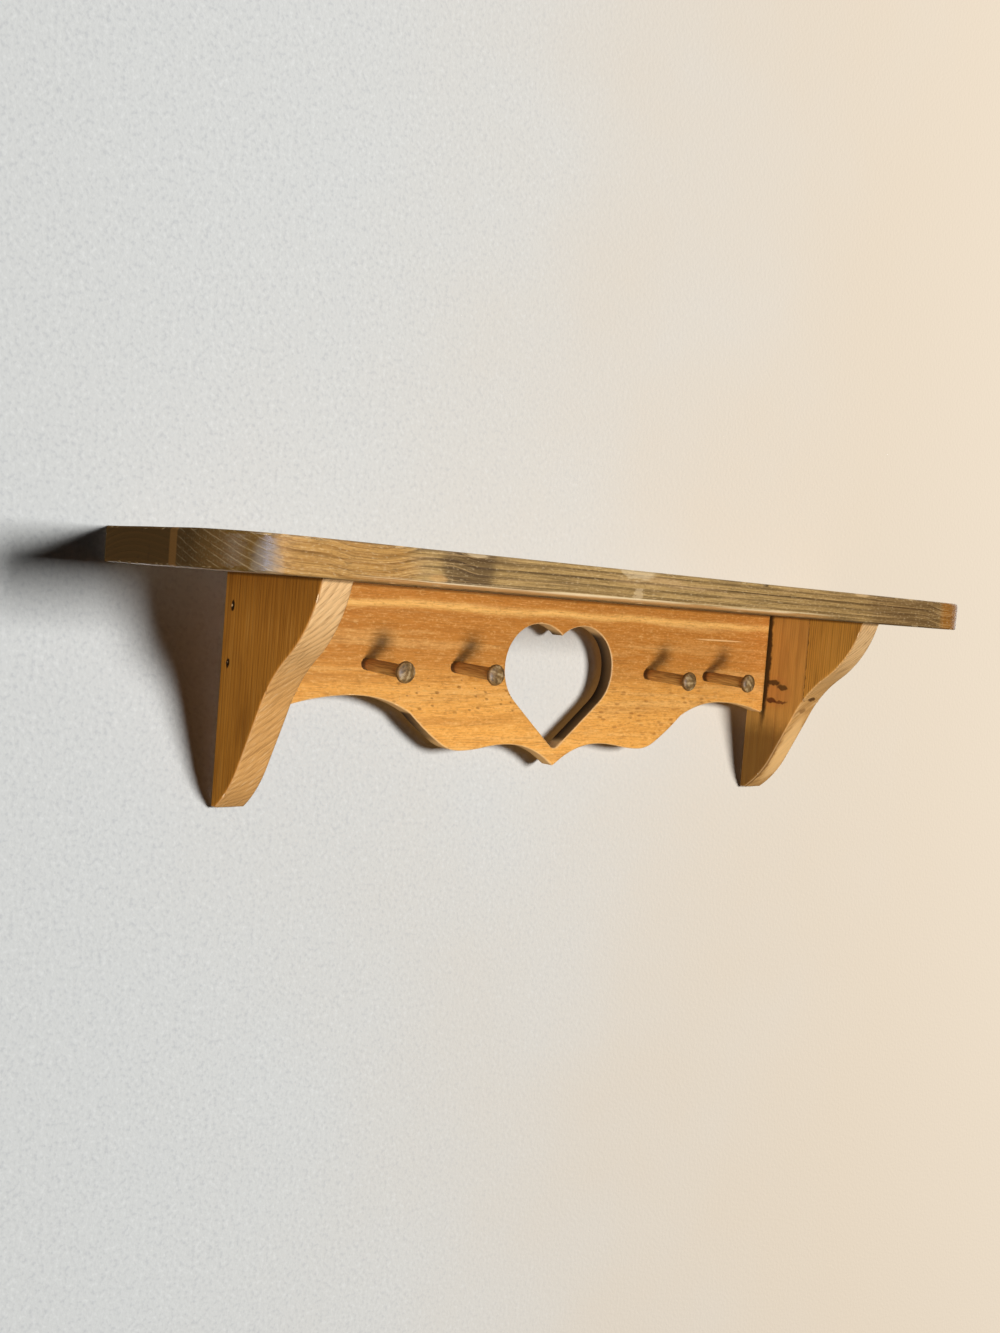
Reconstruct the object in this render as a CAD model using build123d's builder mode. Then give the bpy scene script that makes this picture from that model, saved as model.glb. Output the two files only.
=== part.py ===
from build123d import *
import os

# Shaker peg rail with shelf, in millimetres.
# Frame: +Z is up, the wall is the plane Y = 0, and everything stands out from it along -Y.
# The origin is at the middle of the length, on the wall plane, at the underside of the shelf.
# A "depth" is measured out from the wall, and a "drop" down from the underside of the shelf.

# ---------------------------------------------------------------- shelf
shelf_length = 610.0
shelf_depth = 132.0
shelf_thickness = 19.0
shelf_corner_radius = 38.0
shelf_easing = 1.5  # rounding of the shelf's arrises

# ---------------------------------------------------------------- brackets
bracket_overhang = 71.5  # from the shelf's end in to the bracket's outer face
bracket_thickness = 18.7
bracket_depth = 98.5
bracket_drop = 131.0
bracket_joint_depth = 51.5  # glue line between the rear and the front strip
bracket_lean = 15.0  # degrees off plumb at the top of the ogee
swell_setback, swell_drop = 28.5, 42.0  # end of the upper swell, behind the bracket's front
waist_setback, waist_drop = 54.8, 74.0  # end of the hollow
ankle_setback, ankle_rise = 71.8, 25.7  # start of the toe, above the bracket's foot
toe_sole = 4.0  # level stretch under the toe
bracket_easing = 0.8

# ---------------------------------------------------------------- peg rail
rail_setback = 5.0  # the rail's back stands this far off the wall
rail_thickness = 11.0
rail_end_gap = 0.6  # the rail is cut a little short at each end
rail_easing = 0.9
pattern_offset = 6.0  # the heart and scallops sit this far right of the middle
rail_end_reach, rail_end_drop = 222.0, 78.4  # the pattern's end, past the end of the board
outer_arch_reach, outer_arch_drop = 159.0, 66.0
flank_reach, flank_drop = 119.0, 76.2
knuckle_reach, knuckle_drop = 94.0, 95.2
lobe_reach, lobe_drop = 79.0, 99.5
inner_arch_reach, inner_arch_drop = 40.0, 95.7
tip_drop = 110.6

heart_cusp_drop = 24.1
heart_lobe_reach, heart_lobe_drop = 19.0, 17.2
heart_side_reach, heart_side_drop = 46.8, 46.0
heart_flank_reach, heart_flank_drop = 37.0, 67.5
heart_tip_drop = 99.5
heart_tip_radius = 5.0

# ---------------------------------------------------------------- pegs
outer_peg_inset = 66.7  # from the rail's end in to the outer peg
inner_peg_left_reach, inner_peg_right_reach = 81.5, 87.0  # out from the middle
peg_drop = 47.2
peg_projection = 42.5
peg_tenon_radius = 3.2
peg_foot_radius = 3.6
peg_neck_radius = 3.9
peg_head_radius = 6.4
peg_head_length = 5.0
peg_head_edge_radius = 5.3  # radius at the head's back and front edges
peg_dome_height = 1.4
peg_neck_cove = 1.2
glue_clearance = 0.05

# ---------------------------------------------------------------- nails
nail_length = 38.0
nail_shank_radius = 0.9
nail_head_radius = 1.5
nail_head_thickness = 0.9
nail_point_length = 3.0
nail_point_radius = 0.2
nail_punch_depth = 1.2  # heads are punched this far below the face
nail_clearance = 0.02
bracket_nail_places = [(3.9, 18.3), (2.5, 50.0)]  # (in front of the rail's back, drop)
shelf_nail_rear_depth = 26.0
shelf_nail_setback = 23.5  # the front nail stands this far behind the bracket's front
rail_nail_reaches = [-112.0, 112.0]  # shelf nails into the rail's top edge

# ---------------------------------------------------------------- wall hangers
hanger_width = 14.0
hanger_height = 41.0
hanger_thickness = 1.6
hanger_drop = 25.0  # to the plate's middle
hanger_entry_radius = 4.5  # lets the wall screw's head in
hanger_slot_radius = 2.25
hanger_slot_rise = 9.0
hanger_entry_below = 4.0  # the entry hole's centre is this far below the plate's middle
hanger_screw_spacing = 32.0
hanger_fit_clearance = 0.1
pocket_radius = 5.2  # room behind the keyhole for the wall screw's head
pocket_depth = 5.0
screw_length = 16.0
screw_shank_radius = 1.4
screw_head_radius = 2.8
screw_head_height = 1.4
screw_point_length = 3.0
screw_point_radius = 0.3
screw_slot_width = 0.7
screw_slot_depth = 0.7
screw_clearance = 0.03
screw_head_angle = 90.0  # degrees
upright = 90.0  # degrees that stand a slot on its end

# ---------------------------------------------------------------- what follows from them
bracket_outer = shelf_length / 2 - bracket_overhang
bracket_inner = bracket_outer - bracket_thickness
bracket_middle = (bracket_outer + bracket_inner) / 2
rail_length = 2 * (bracket_inner - rail_end_gap)
rail_front = rail_setback + rail_thickness
outer_peg_reach = rail_length / 2 - outer_peg_inset
peg_places = {
    "outer_left": -outer_peg_reach,
    "inner_left": -inner_peg_left_reach,
    "inner_right": inner_peg_right_reach,
    "outer_right": outer_peg_reach,
}
rail_middle_depth = rail_setback + rail_thickness / 2
nail_sink = nail_punch_depth + nail_head_thickness
nail_reach = nail_length + nail_punch_depth + nail_clearance  # from the face that a nail enters
nail_hole_radius = nail_shank_radius + nail_clearance
nail_bore_radius = nail_head_radius + nail_clearance
shelf_nail_depths = [shelf_nail_rear_depth, bracket_depth - shelf_nail_setback]
border_tolerance = 1e-3  # for picking edges


# ---------------------------------------------------------------- profiles
def bracket_profile(near, far):
    """The ogee between two depths, in a plane whose x is the depth and whose y is the height."""
    swell = (bracket_depth - swell_setback, -swell_drop)
    waist = (bracket_depth - waist_setback, -waist_drop)
    ankle = (bracket_depth - ankle_setback, ankle_rise - bracket_drop)
    with BuildSketch() as profile:
        with BuildLine():
            start = Vector(0, -1).rotate(Axis.Z, -bracket_lean)
            upper = TangentArc((bracket_depth, 0), swell, tangent=start)
            TangentArc(swell, waist, tangent=upper % 1)
            straight = Line(waist, ankle)
            TangentArc(ankle, (toe_sole, -bracket_drop), tangent=straight % 1)
            Polyline((toe_sole, -bracket_drop), (0, -bracket_drop), (0, 0), (bracket_depth, 0))
        make_face()
        with Locations(((near + far) / 2, 0)):
            Rectangle(far - near, bracket_drop, align=(Align.CENTER, Align.MAX), mode=Mode.INTERSECT)
    return profile.sketch


def scallop_profile():
    """The rail's face down to its scalloped edge, symmetric about the pattern's own middle."""
    tip = (0, -tip_drop)
    inner_arch = (inner_arch_reach, -inner_arch_drop)
    lobe = (lobe_reach, -lobe_drop)
    saddle = ((inner_arch_reach + lobe_reach) / 2, -(inner_arch_drop + lobe_drop) / 2)
    knuckle = (knuckle_reach, -knuckle_drop)
    flank = (flank_reach, -flank_drop)
    outer_arch = (outer_arch_reach, -outer_arch_drop)
    end = (rail_end_reach, -rail_end_drop)
    far_reach = rail_end_reach + rail_length / 2
    with BuildSketch() as profile:
        with BuildLine():
            TangentArc(inner_arch, tip, tangent=(-1, 0))
            TangentArc(inner_arch, saddle, tangent=(1, 0))
            TangentArc(lobe, saddle, tangent=(-1, 0))
            rising = TangentArc(lobe, knuckle, tangent=(1, 0))
            TangentArc(knuckle, flank, tangent=rising % 1)
            TangentArc(outer_arch, flank, tangent=(-1, 0))
            TangentArc(outer_arch, end, tangent=(1, 0))
            Polyline(end, (far_reach, -rail_end_drop), (far_reach, 0), (0, 0), tip)
        make_face()
        mirror(about=Plane.YZ)
    return profile.sketch


def heart_profile():
    """The heart opening, symmetric about the pattern's own middle."""
    cusp = (0, -heart_cusp_drop)
    lobe = (heart_lobe_reach, -heart_lobe_drop)
    side = (heart_side_reach, -heart_side_drop)
    flank = (heart_flank_reach, -heart_flank_drop)
    tip = (0, -heart_tip_drop)
    with BuildSketch() as profile:
        with BuildLine():
            TangentArc(lobe, cusp, tangent=(-1, 0))
            TangentArc(lobe, side, tangent=(1, 0))
            cheek = TangentArc(side, flank, tangent=(0, -1))
            TangentArc(flank, tip, tangent=cheek % 1)
            Line(tip, cusp)
        make_face()
        mirror(about=Plane.YZ)
        fillet(profile.vertices().sort_by(Axis.Y)[0], radius=heart_tip_radius)
    return profile.sketch


def depth_plane(x):
    """A plane across the length at x, with its own x along the depth and its y up. It faces -X."""
    return Plane(origin=(x, 0, 0), x_dir=(0, -1, 0), z_dir=(-1, 0, 0))


def rail_plane(depth, middle=0.0):
    """A plane parallel to the wall at a depth, facing into the room."""
    return Plane(origin=(middle, -depth, 0), x_dir=(1, 0, 0), z_dir=(0, -1, 0))


# ---------------------------------------------------------------- fasteners
def finish_nail():
    """One nail, head up, with the top of its head at the origin."""
    shank_length = nail_length - nail_head_thickness - nail_point_length
    with BuildPart() as nail:
        Cylinder(nail_head_radius, nail_head_thickness, align=(Align.CENTER, Align.CENTER, Align.MAX))
        with Locations((0, 0, -nail_head_thickness)):
            Cylinder(nail_shank_radius, shank_length, align=(Align.CENTER, Align.CENTER, Align.MAX))
        with Locations((0, 0, nail_point_length - nail_length)):
            Cone(
                bottom_radius=nail_point_radius,
                top_radius=nail_shank_radius,
                height=nail_point_length,
                align=(Align.CENTER, Align.CENTER, Align.MAX),
            )
    return nail.part


def hanger_screw():
    """One countersunk wood screw, head up, with the top of its head at the origin."""
    core = screw_length - screw_head_height - screw_point_length
    with BuildPart() as screw:
        Cone(
            bottom_radius=screw_shank_radius,
            top_radius=screw_head_radius,
            height=screw_head_height,
            align=(Align.CENTER, Align.CENTER, Align.MAX),
        )
        Box(
            2 * screw_head_radius,
            screw_slot_width,
            screw_slot_depth,
            align=(Align.CENTER, Align.CENTER, Align.MAX),
            mode=Mode.SUBTRACT,
        )
        with Locations((0, 0, -screw_head_height)):
            Cylinder(screw_shank_radius, core, align=(Align.CENTER, Align.CENTER, Align.MAX))
        with Locations((0, 0, screw_point_length - screw_length)):
            Cone(
                bottom_radius=screw_point_radius,
                top_radius=screw_shank_radius,
                height=screw_point_length,
                align=(Align.CENTER, Align.CENTER, Align.MAX),
            )
    return screw.part


nail = finish_nail()
screw = hanger_screw()


def nail_planes(side, reach):
    """The two bracket nails' places on a face at x = side * reach; side is -1 for left, 1 for right."""
    places = [(side * reach, -rail_setback - inset, -drop) for inset, drop in bracket_nail_places]
    return [Plane(origin=place, z_dir=(side, 0, 0)) for place in places]


def shelf_nail_points():
    """(x, y) of every nail driven down through the shelf."""
    over_brackets = [(s * bracket_middle, -depth) for s in (-1, 1) for depth in shelf_nail_depths]
    over_rail = [(x, -rail_middle_depth) for x in rail_nail_reaches]
    return over_brackets + over_rail


def hanger_plane(side, above=0.0):
    """A point on the middle line of one hanger plate, on the back edge, facing the wall."""
    place = (side * bracket_middle, 0, above - hanger_drop)
    return Plane(origin=place, x_dir=(-1, 0, 0), z_dir=(0, 1, 0))


def screw_planes(side):
    """The places of one hanger plate's two screws."""
    half = hanger_screw_spacing / 2
    return [hanger_plane(side, above) for above in (-half, half)]


def keyhole_profile(entry_radius, slot_radius):
    """A round entry with a slot that rises from it."""
    entry = (0, -hanger_entry_below)
    with BuildSketch() as profile:
        with Locations(entry):
            Circle(entry_radius)
        with Locations((0, hanger_slot_rise - hanger_entry_below)):
            Circle(slot_radius)
        with Locations(entry):
            Rectangle(2 * slot_radius, hanger_slot_rise, align=(Align.CENTER, Align.MIN))
    return profile.sketch


def is_sawn(edge, near, far):
    """Is this edge of a bracket strip's cheek on the ogee, and not on a straight border?"""
    depth, height = -edge.center().Y, edge.center().Z
    on_border = min(abs(depth - near), abs(height)) < border_tolerance
    on_joint = abs(depth - far) < border_tolerance and abs(edge.tangent_at(0.5).Z) > 1 - border_tolerance
    return not (on_border or on_joint)


def is_neck(edge):
    """Is this circle the inner corner behind a peg's head?"""
    out = -edge.center().Y - rail_front
    at_head = abs(out - peg_projection + peg_head_length) < border_tolerance
    return at_head and abs(edge.radius - peg_neck_radius) < border_tolerance


parts = {}

# ---------------------------------------------------------------- shelf board
with BuildPart() as shelf_board:
    with BuildSketch(Plane.XY) as shelf_plan:
        with Locations((0, -shelf_depth / 2)):
            Rectangle(shelf_length, shelf_depth)
        fillet(shelf_plan.vertices().group_by(Axis.Y)[0], radius=shelf_corner_radius)
    extrude(amount=shelf_thickness)
    level_faces = shelf_board.faces().filter_by(Axis.Z)
    arrises = [edge for face in level_faces for edge in face.edges().sort_by(Axis.Y)[:-1]]
    fillet(arrises, radius=shelf_easing)
    with Locations(*[(x, y, shelf_thickness) for x, y in shelf_nail_points()]):
        CounterBoreHole(nail_hole_radius, nail_bore_radius, nail_sink, depth=shelf_thickness)
parts["shelf_board"] = shelf_board.part

# ---------------------------------------------------------------- peg rail
scallops = scallop_profile()
heart = heart_profile()

with BuildPart() as peg_rail:
    with BuildSketch(rail_plane(rail_setback, pattern_offset)):
        add(scallops)
        with Locations((-pattern_offset, 0)):
            Rectangle(rail_length, tip_drop, align=(Align.CENTER, Align.MAX), mode=Mode.INTERSECT)
        add(heart, mode=Mode.SUBTRACT)
    extrude(amount=rail_thickness)
    front_face = peg_rail.faces().sort_by(Axis.Y)[0]
    fillet(front_face.edges().sort_by(Axis.Z)[:-1], radius=rail_easing)
    with BuildSketch(rail_plane(rail_front)):
        with Locations(*[(reach, -peg_drop) for reach in peg_places.values()]):
            Circle(peg_tenon_radius + glue_clearance)
    extrude(amount=-rail_thickness, mode=Mode.SUBTRACT)
    with Locations(*[plane for side in (-1, 1) for plane in nail_planes(side, rail_length / 2)]):
        Hole(nail_hole_radius, depth=nail_reach - bracket_thickness - rail_end_gap)
    with Locations(*[(x, -rail_middle_depth, 0) for x in rail_nail_reaches]):
        Hole(nail_hole_radius, depth=nail_reach - shelf_thickness)
parts["peg_rail"] = peg_rail.part

# ---------------------------------------------------------------- brackets
strips = {"rear": (0, bracket_joint_depth), "front": (bracket_joint_depth, bracket_depth)}
for side, hand in ((-1, "left"), (1, "right")):
    plane_x = -bracket_inner if side < 0 else bracket_outer
    for strip, (near, far) in strips.items():
        profile = bracket_profile(near, far)
        with BuildPart() as bracket_board:
            with BuildSketch(depth_plane(plane_x)):
                add(profile)
            extrude(amount=bracket_thickness)
            cheeks = bracket_board.faces().filter_by(Axis.X).sort_by(Axis.X)
            outline = [edge for face in (cheeks[0], cheeks[-1]) for edge in face.edges()]
            fillet([edge for edge in outline if is_sawn(edge, near, far)], radius=bracket_easing)
            with Locations(*[(side * bracket_middle, -depth, 0) for depth in shelf_nail_depths]):
                Hole(nail_hole_radius, depth=nail_reach - shelf_thickness)
            if strip == "rear":
                with Locations(*nail_planes(side, bracket_outer)):
                    CounterBoreHole(nail_hole_radius, nail_bore_radius, nail_sink, depth=bracket_thickness)
                with BuildSketch(hanger_plane(side)):
                    SlotOverall(hanger_height, hanger_width, rotation=upright)
                extrude(amount=-hanger_thickness, mode=Mode.SUBTRACT)
                with BuildSketch(hanger_plane(side)):
                    add(keyhole_profile(pocket_radius, pocket_radius))
                extrude(amount=-hanger_thickness - pocket_depth, mode=Mode.SUBTRACT)
                with Locations(*screw_planes(side)):
                    Hole(screw_shank_radius + screw_clearance, depth=screw_length)
        parts[f"{hand}_bracket_{strip}_board"] = bracket_board.part

# ---------------------------------------------------------------- pegs
for place, reach in peg_places.items():
    foot = Plane(origin=(reach, -rail_front, -peg_drop), x_dir=(0, -1, 0), z_dir=(-1, 0, 0))
    head_back = peg_projection - peg_head_length
    dome_start = peg_projection - peg_dome_height
    with BuildPart() as peg:
        with BuildSketch(foot):
            with BuildLine():
                Polyline(
                    (0, peg_foot_radius),
                    (0, peg_tenon_radius),
                    (-rail_thickness, peg_tenon_radius),
                    (-rail_thickness, 0),
                    (peg_projection, 0),
                )
                TangentArc((peg_projection, 0), (dome_start, peg_head_edge_radius), tangent=(0, 1))
                ThreePointArc(
                    (dome_start, peg_head_edge_radius),
                    ((head_back + dome_start) / 2, peg_head_radius),
                    (head_back, peg_head_edge_radius),
                )
                Line((head_back, peg_head_edge_radius), (head_back, peg_neck_radius))
                Line((head_back, peg_neck_radius), (0, peg_foot_radius))
            make_face()
        revolve(axis=Axis((reach, 0, -peg_drop), (0, -1, 0)))
        neck = peg.edges().filter_by(GeomType.CIRCLE).sort_by(Axis.Y)
        fillet([edge for edge in neck if is_neck(edge)], radius=peg_neck_cove)
    parts[f"peg_{place}"] = peg.part

# ---------------------------------------------------------------- nails
for side, hand in ((-1, "left"), (1, "right")):
    with BuildPart() as bracket_nails:
        with Locations(*nail_planes(side, bracket_outer - nail_punch_depth)):
            add(nail)
    parts[f"{hand}_bracket_nails"] = bracket_nails.part

with BuildPart() as shelf_nails:
    with Locations(*[(x, y, shelf_thickness - nail_punch_depth) for x, y in shelf_nail_points()]):
        add(nail)
parts["shelf_nails"] = shelf_nails.part

# ---------------------------------------------------------------- wall hangers
for side, hand in ((-1, "left"), (1, "right")):
    plate_height = hanger_height - 2 * hanger_fit_clearance
    plate_width = hanger_width - 2 * hanger_fit_clearance
    with BuildPart() as hanger_plate:
        with BuildSketch(hanger_plane(side)):
            SlotOverall(plate_height, plate_width, rotation=upright)
            add(keyhole_profile(hanger_entry_radius, hanger_slot_radius), mode=Mode.SUBTRACT)
        extrude(amount=-hanger_thickness)
        with Locations(*screw_planes(side)):
            CounterSinkHole(
                radius=screw_shank_radius + screw_clearance,
                counter_sink_radius=screw_head_radius + screw_clearance,
                depth=hanger_thickness,
                counter_sink_angle=screw_head_angle,
            )
    parts[f"{hand}_hanger_plate"] = hanger_plate.part

with BuildPart() as hanger_screws:
    with Locations(*[plane for side in (-1, 1) for plane in screw_planes(side)]):
        add(screw)
parts["hanger_screws"] = hanger_screws.part

# ---------------------------------------------------------------- one file for each piece
os.makedirs("parts", exist_ok=True)
for name, solid in parts.items():
    solid.label = name
    export_step(solid, f"parts/{name}.step")
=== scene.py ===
# %% [markdown]
# # A peg rail with a shelf, in old stained pine
#
# The object is a country wall shelf: a thick board on two ogee brackets, a scalloped rail with a cut-out heart
# between them, and four turned pegs. The CAD model gives every piece its real shape and place. This notebook
# gives the pieces their wood: worn arrises, chips, growth rings that run through a board from its face to its
# end, stain that has darkened unevenly, and steel that has dulled.

# %% The frame
import math

import bmesh
import bpy
import numpy as np
from mathutils import Matrix, Vector
from mathutils.geometry import delaunay_2d_cdt
from mathutils.kdtree import KDTree


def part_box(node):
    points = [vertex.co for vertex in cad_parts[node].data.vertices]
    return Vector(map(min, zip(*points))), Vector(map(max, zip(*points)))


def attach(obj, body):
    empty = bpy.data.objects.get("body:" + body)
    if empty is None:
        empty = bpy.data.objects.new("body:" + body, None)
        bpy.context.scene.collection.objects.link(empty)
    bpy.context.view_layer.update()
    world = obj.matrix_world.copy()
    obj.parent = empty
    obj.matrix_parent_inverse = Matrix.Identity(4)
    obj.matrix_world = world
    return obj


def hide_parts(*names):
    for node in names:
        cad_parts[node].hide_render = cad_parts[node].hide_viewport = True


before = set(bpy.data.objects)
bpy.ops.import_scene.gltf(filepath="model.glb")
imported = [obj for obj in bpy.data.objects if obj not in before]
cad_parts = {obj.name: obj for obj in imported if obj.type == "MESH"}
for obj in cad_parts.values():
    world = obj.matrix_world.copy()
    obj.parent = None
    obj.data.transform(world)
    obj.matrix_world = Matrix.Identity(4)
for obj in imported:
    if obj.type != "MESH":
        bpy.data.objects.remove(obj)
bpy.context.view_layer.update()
MM = 0.001  # Blender works in metres, and a joiner in millimetres
SAME_POINT = 0.001 * MM  # closer than this, two points are one
print("pieces in the frame:", len(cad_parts))

# %% [markdown]
# ## Three small helpers
#
# Paint colours are written as they look on a screen, in sRGB, and Blender's sockets take linear light, so one
# function turns the one into the other. The second helper adds a node to any tree, sets it and links it, so that
# a pattern reads as a few lines. Geometry and shader trees share it. The third puts a new object in the scene.

# %% Colours and nodes
def linear(paint):
    """The linear RGBA of an sRGB hex colour such as #c07c38."""
    channels = [int(paint[i:i + 2], 16) / 255 for i in (1, 3, 5)]
    # the numbers are those of the sRGB standard's curve
    light = [c / 12.92 if c <= 0.04045 else ((c + 0.055) / 1.055) ** 2.4 for c in channels]
    return (*light, 1.0)


def add(tree, kind, inputs=None, **settings):
    """Adds a node. An input, by its name or number, takes a value, a #hex colour, a socket, or another node,
    which stands for its first live output."""
    node = tree.nodes.new(kind)
    for name, value in settings.items():
        setattr(node, name, value)
    for key, value in (inputs or {}).items():
        if isinstance(key, int):
            socket = node.inputs[key]
        else:
            socket = next(s for s in node.inputs if s.name == key and s.enabled)
        if isinstance(value, bpy.types.Node):
            value = next(s for s in value.outputs if s.enabled)
        if isinstance(value, bpy.types.NodeSocket):
            tree.links.new(value, socket)
        else:
            socket.default_value = linear(value) if str(value).startswith("#") else value
    return node


def placed(name, data):
    """A new object with that mesh, lamp or camera, in the scene."""
    thing = bpy.data.objects.new(name, data)
    bpy.context.scene.collection.objects.link(thing)
    return thing


print("mid grey in linear light:", round(linear("#808080")[0], 3))

# %% [markdown]
# ## Patterns that wood needs
#
# Wood is a bundle of long fibres in yearly layers, so most of its patterns are soft noise pulled out along the
# grain. Each pattern here takes a place in millimetres, so that its size can be read off a ruler. Masks say where
# a stain lies, from 0 to 1, and coats lay the stains one over another, as a painter does.

# %% Noise, masks and coats
def stretched_noise(tree, place, size, seed=0.0, detail=2.0):
    """Soft noise from 0 to 1, whose blobs have that size along X, Y and Z in millimetres."""
    shrunk = add(tree, "ShaderNodeVectorMath", {0: place, 1: [1 / s for s in size]}, operation="MULTIPLY")
    inputs = {"Vector": shrunk, "W": seed, "Scale": 1.0, "Detail": detail}
    return add(tree, "ShaderNodeTexNoise", inputs, noise_dimensions="4D")


def over(tree, value, low, high):
    """0 where a value is below low, 1 above high, and a soft step between them. When low is the greater of
    the two, the step falls instead."""
    inputs = {"Value": value, "From Min": low, "From Max": high}
    return add(tree, "ShaderNodeMapRange", inputs, interpolation_type="SMOOTHSTEP")


def zone(tree, along, start, end, soft):
    """1 from start to end, 0 elsewhere, with edges that are soft over that many millimetres."""
    inside_start = over(tree, along, start - soft / 2, start + soft / 2)
    past_end = over(tree, along, end - soft / 2, end + soft / 2)
    return add(tree, "ShaderNodeMath", {0: inside_start, 1: past_end}, operation="SUBTRACT")


def both(tree, *masks):
    """Where every mask is 1."""
    joined = masks[0]
    for mask in masks[1:]:
        joined = add(tree, "ShaderNodeMath", {0: joined, 1: mask}, operation="MULTIPLY")
    return joined


def coats(tree, base, *layers):
    """Stains laid one over another. Each layer is a mask, how much of it takes, and its colour."""
    for mask, strength, stain in layers:
        share = add(tree, "ShaderNodeMath", {0: mask, 1: strength}, operation="MULTIPLY", use_clamp=True)
        base = add(tree, "ShaderNodeMix", {"Factor": share, "A": base, "B": stain}, data_type="RGBA")
    return base


def near(tree, place, centre, size):
    """1 at a spot and 0 past its edge, for a spot of that half-size along X, Y and Z."""
    away = add(tree, "ShaderNodeVectorMath", {0: place, 1: centre}, operation="SUBTRACT")
    away = add(tree, "ShaderNodeVectorMath", {0: away, 1: [1 / s for s in size]}, operation="MULTIPLY")
    away = add(tree, "ShaderNodeVectorMath", {0: away}, operation="LENGTH")
    return over(tree, away.outputs["Value"], 1.15, 0.7)  # the edge is soft from 0.7 to 1.15 of the half-size


def strayed(tree, place, size, seed, detail, reach):
    """A place moved by soft noise of that size, by up to half of reach in millimetres each way."""
    sway = stretched_noise(tree, place, size, seed, detail).outputs["Color"]
    sway = add(tree, "ShaderNodeVectorMath", {0: sway, 1: (0.5, 0.5, 0.5)}, operation="SUBTRACT")
    return add(tree, "ShaderNodeVectorMath", {0: sway, 1: (reach,) * 3, 2: place}, operation="MULTIPLY_ADD")


# %% Growth rings and dents
RINGS_STRAY_ALONG, RINGS_STRAY_ACROSS = 260, 45  # millimetres of trunk over which its rings lean and sway
HAIR_LENGTH = 25  # millimetres that a hair line between the rings runs on
HAIRS_PER_MM = 1.1
WEAKEST_YEAR = 0.4  # how dark the autumn wood of a poor year is beside the best year's


def growth_rings(tree, place, pith, across, spacing, wander, seed):
    """The yearly rings of a trunk. Its pith runs through a place, across is 1 for the axes across the grain and
    a small number along it, spacing is the width of a ring and wander how far the rings stray, both in
    millimetres. Gives the season at each point, from 0 for spring to 1 for autumn, how strongly that year
    grew, and the hair lines between the rings, which follow them."""
    reach = [RINGS_STRAY_ALONG if a < 1 else RINGS_STRAY_ACROSS for a in across]
    moved = strayed(tree, place, reach, seed, 1.0, wander)
    moved = add(tree, "ShaderNodeVectorMath", {0: moved, 1: pith}, operation="SUBTRACT")
    moved = add(tree, "ShaderNodeVectorMath", {0: moved, 1: across}, operation="MULTIPLY")
    radius = add(tree, "ShaderNodeVectorMath", {0: moved}, operation="LENGTH").outputs["Value"]
    years = add(tree, "ShaderNodeMath", {0: radius, 1: spacing}, operation="DIVIDE")
    season = add(tree, "ShaderNodeMath", {0: years}, operation="FRACT")
    year = add(tree, "ShaderNodeMath", {0: years}, operation="FLOOR")
    growth = add(tree, "ShaderNodeTexWhiteNoise", {"W": year}, noise_dimensions="1D").outputs["Value"]
    growth = add(tree, "ShaderNodeMapRange", {"Value": growth, "To Min": WEAKEST_YEAR})
    # hair lines are noise that changes with the radius, and only slowly along the board
    along = [1 / HAIR_LENGTH if a < 1 else 0.0 for a in across]
    fine = add(tree, "ShaderNodeVectorMath", {0: place, 1: along}, operation="MULTIPLY")
    deep = add(tree, "ShaderNodeMath", {0: radius, 1: HAIRS_PER_MM}, operation="MULTIPLY")
    deep = add(tree, "ShaderNodeVectorMath", {"Vector": (1, 1, 1), "Scale": deep}, operation="SCALE")
    fine = add(tree, "ShaderNodeVectorMath", {0: fine, 1: deep}, operation="ADD")
    hairs = add(tree, "ShaderNodeTexNoise", {"Vector": fine, "Scale": 1.0, "Detail": 3.0, "Roughness": 0.6})
    return season, growth, hairs


def late_wood(tree, season, growth, start=0.3):
    """The dark part of each ring, which comes on slowly from that season and ends sharply."""
    rise = over(tree, season, start, 0.88)
    end = over(tree, season, 0.9, 1.0)
    late = add(tree, "ShaderNodeMath", {0: rise, 1: end}, operation="SUBTRACT")
    return both(tree, late, growth)


def dents(tree, along, up, cell):
    """Scattered slanting dents on a face, about one in each cell of that size: how far a point is from the
    nearest, in cells, and a random number for each."""
    slant = add(tree, "ShaderNodeMath", {0: up, 1: 0.5, 2: along}, operation="MULTIPLY_ADD")
    flat = add(tree, "ShaderNodeCombineXYZ", {"X": slant, "Y": up})
    shrunk = add(tree, "ShaderNodeVectorMath", {0: flat, 1: (1 / cell[0], 1 / cell[1], 0)}, operation="MULTIPLY")
    cells = add(tree, "ShaderNodeTexVoronoi", {"Vector": shrunk, "Scale": 1.0}, voronoi_dimensions="2D").outputs
    return cells["Distance"], add(tree, "ShaderNodeSeparateColor", {0: cells["Color"]}).outputs[0]


# %% [markdown]
# ## Boards, cut again with soft arrises
#
# A sawn board is an outline with a thickness. The CAD board is exact but its faces are a few long triangles, and
# wear needs points to move. So each board is built again over the CAD one: a cross-section gives its outline,
# the outline is walked at an even step, quarter-round rings make the arrises, and the two faces are filled with
# an even grid of points. `delaunay_2d_cdt` does that filling, and keeps the heart and the peg holes open.

# %% Outlines read from the frame
CORNER = math.radians(30)  # an outline that turns more than this has a sharp corner


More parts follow.
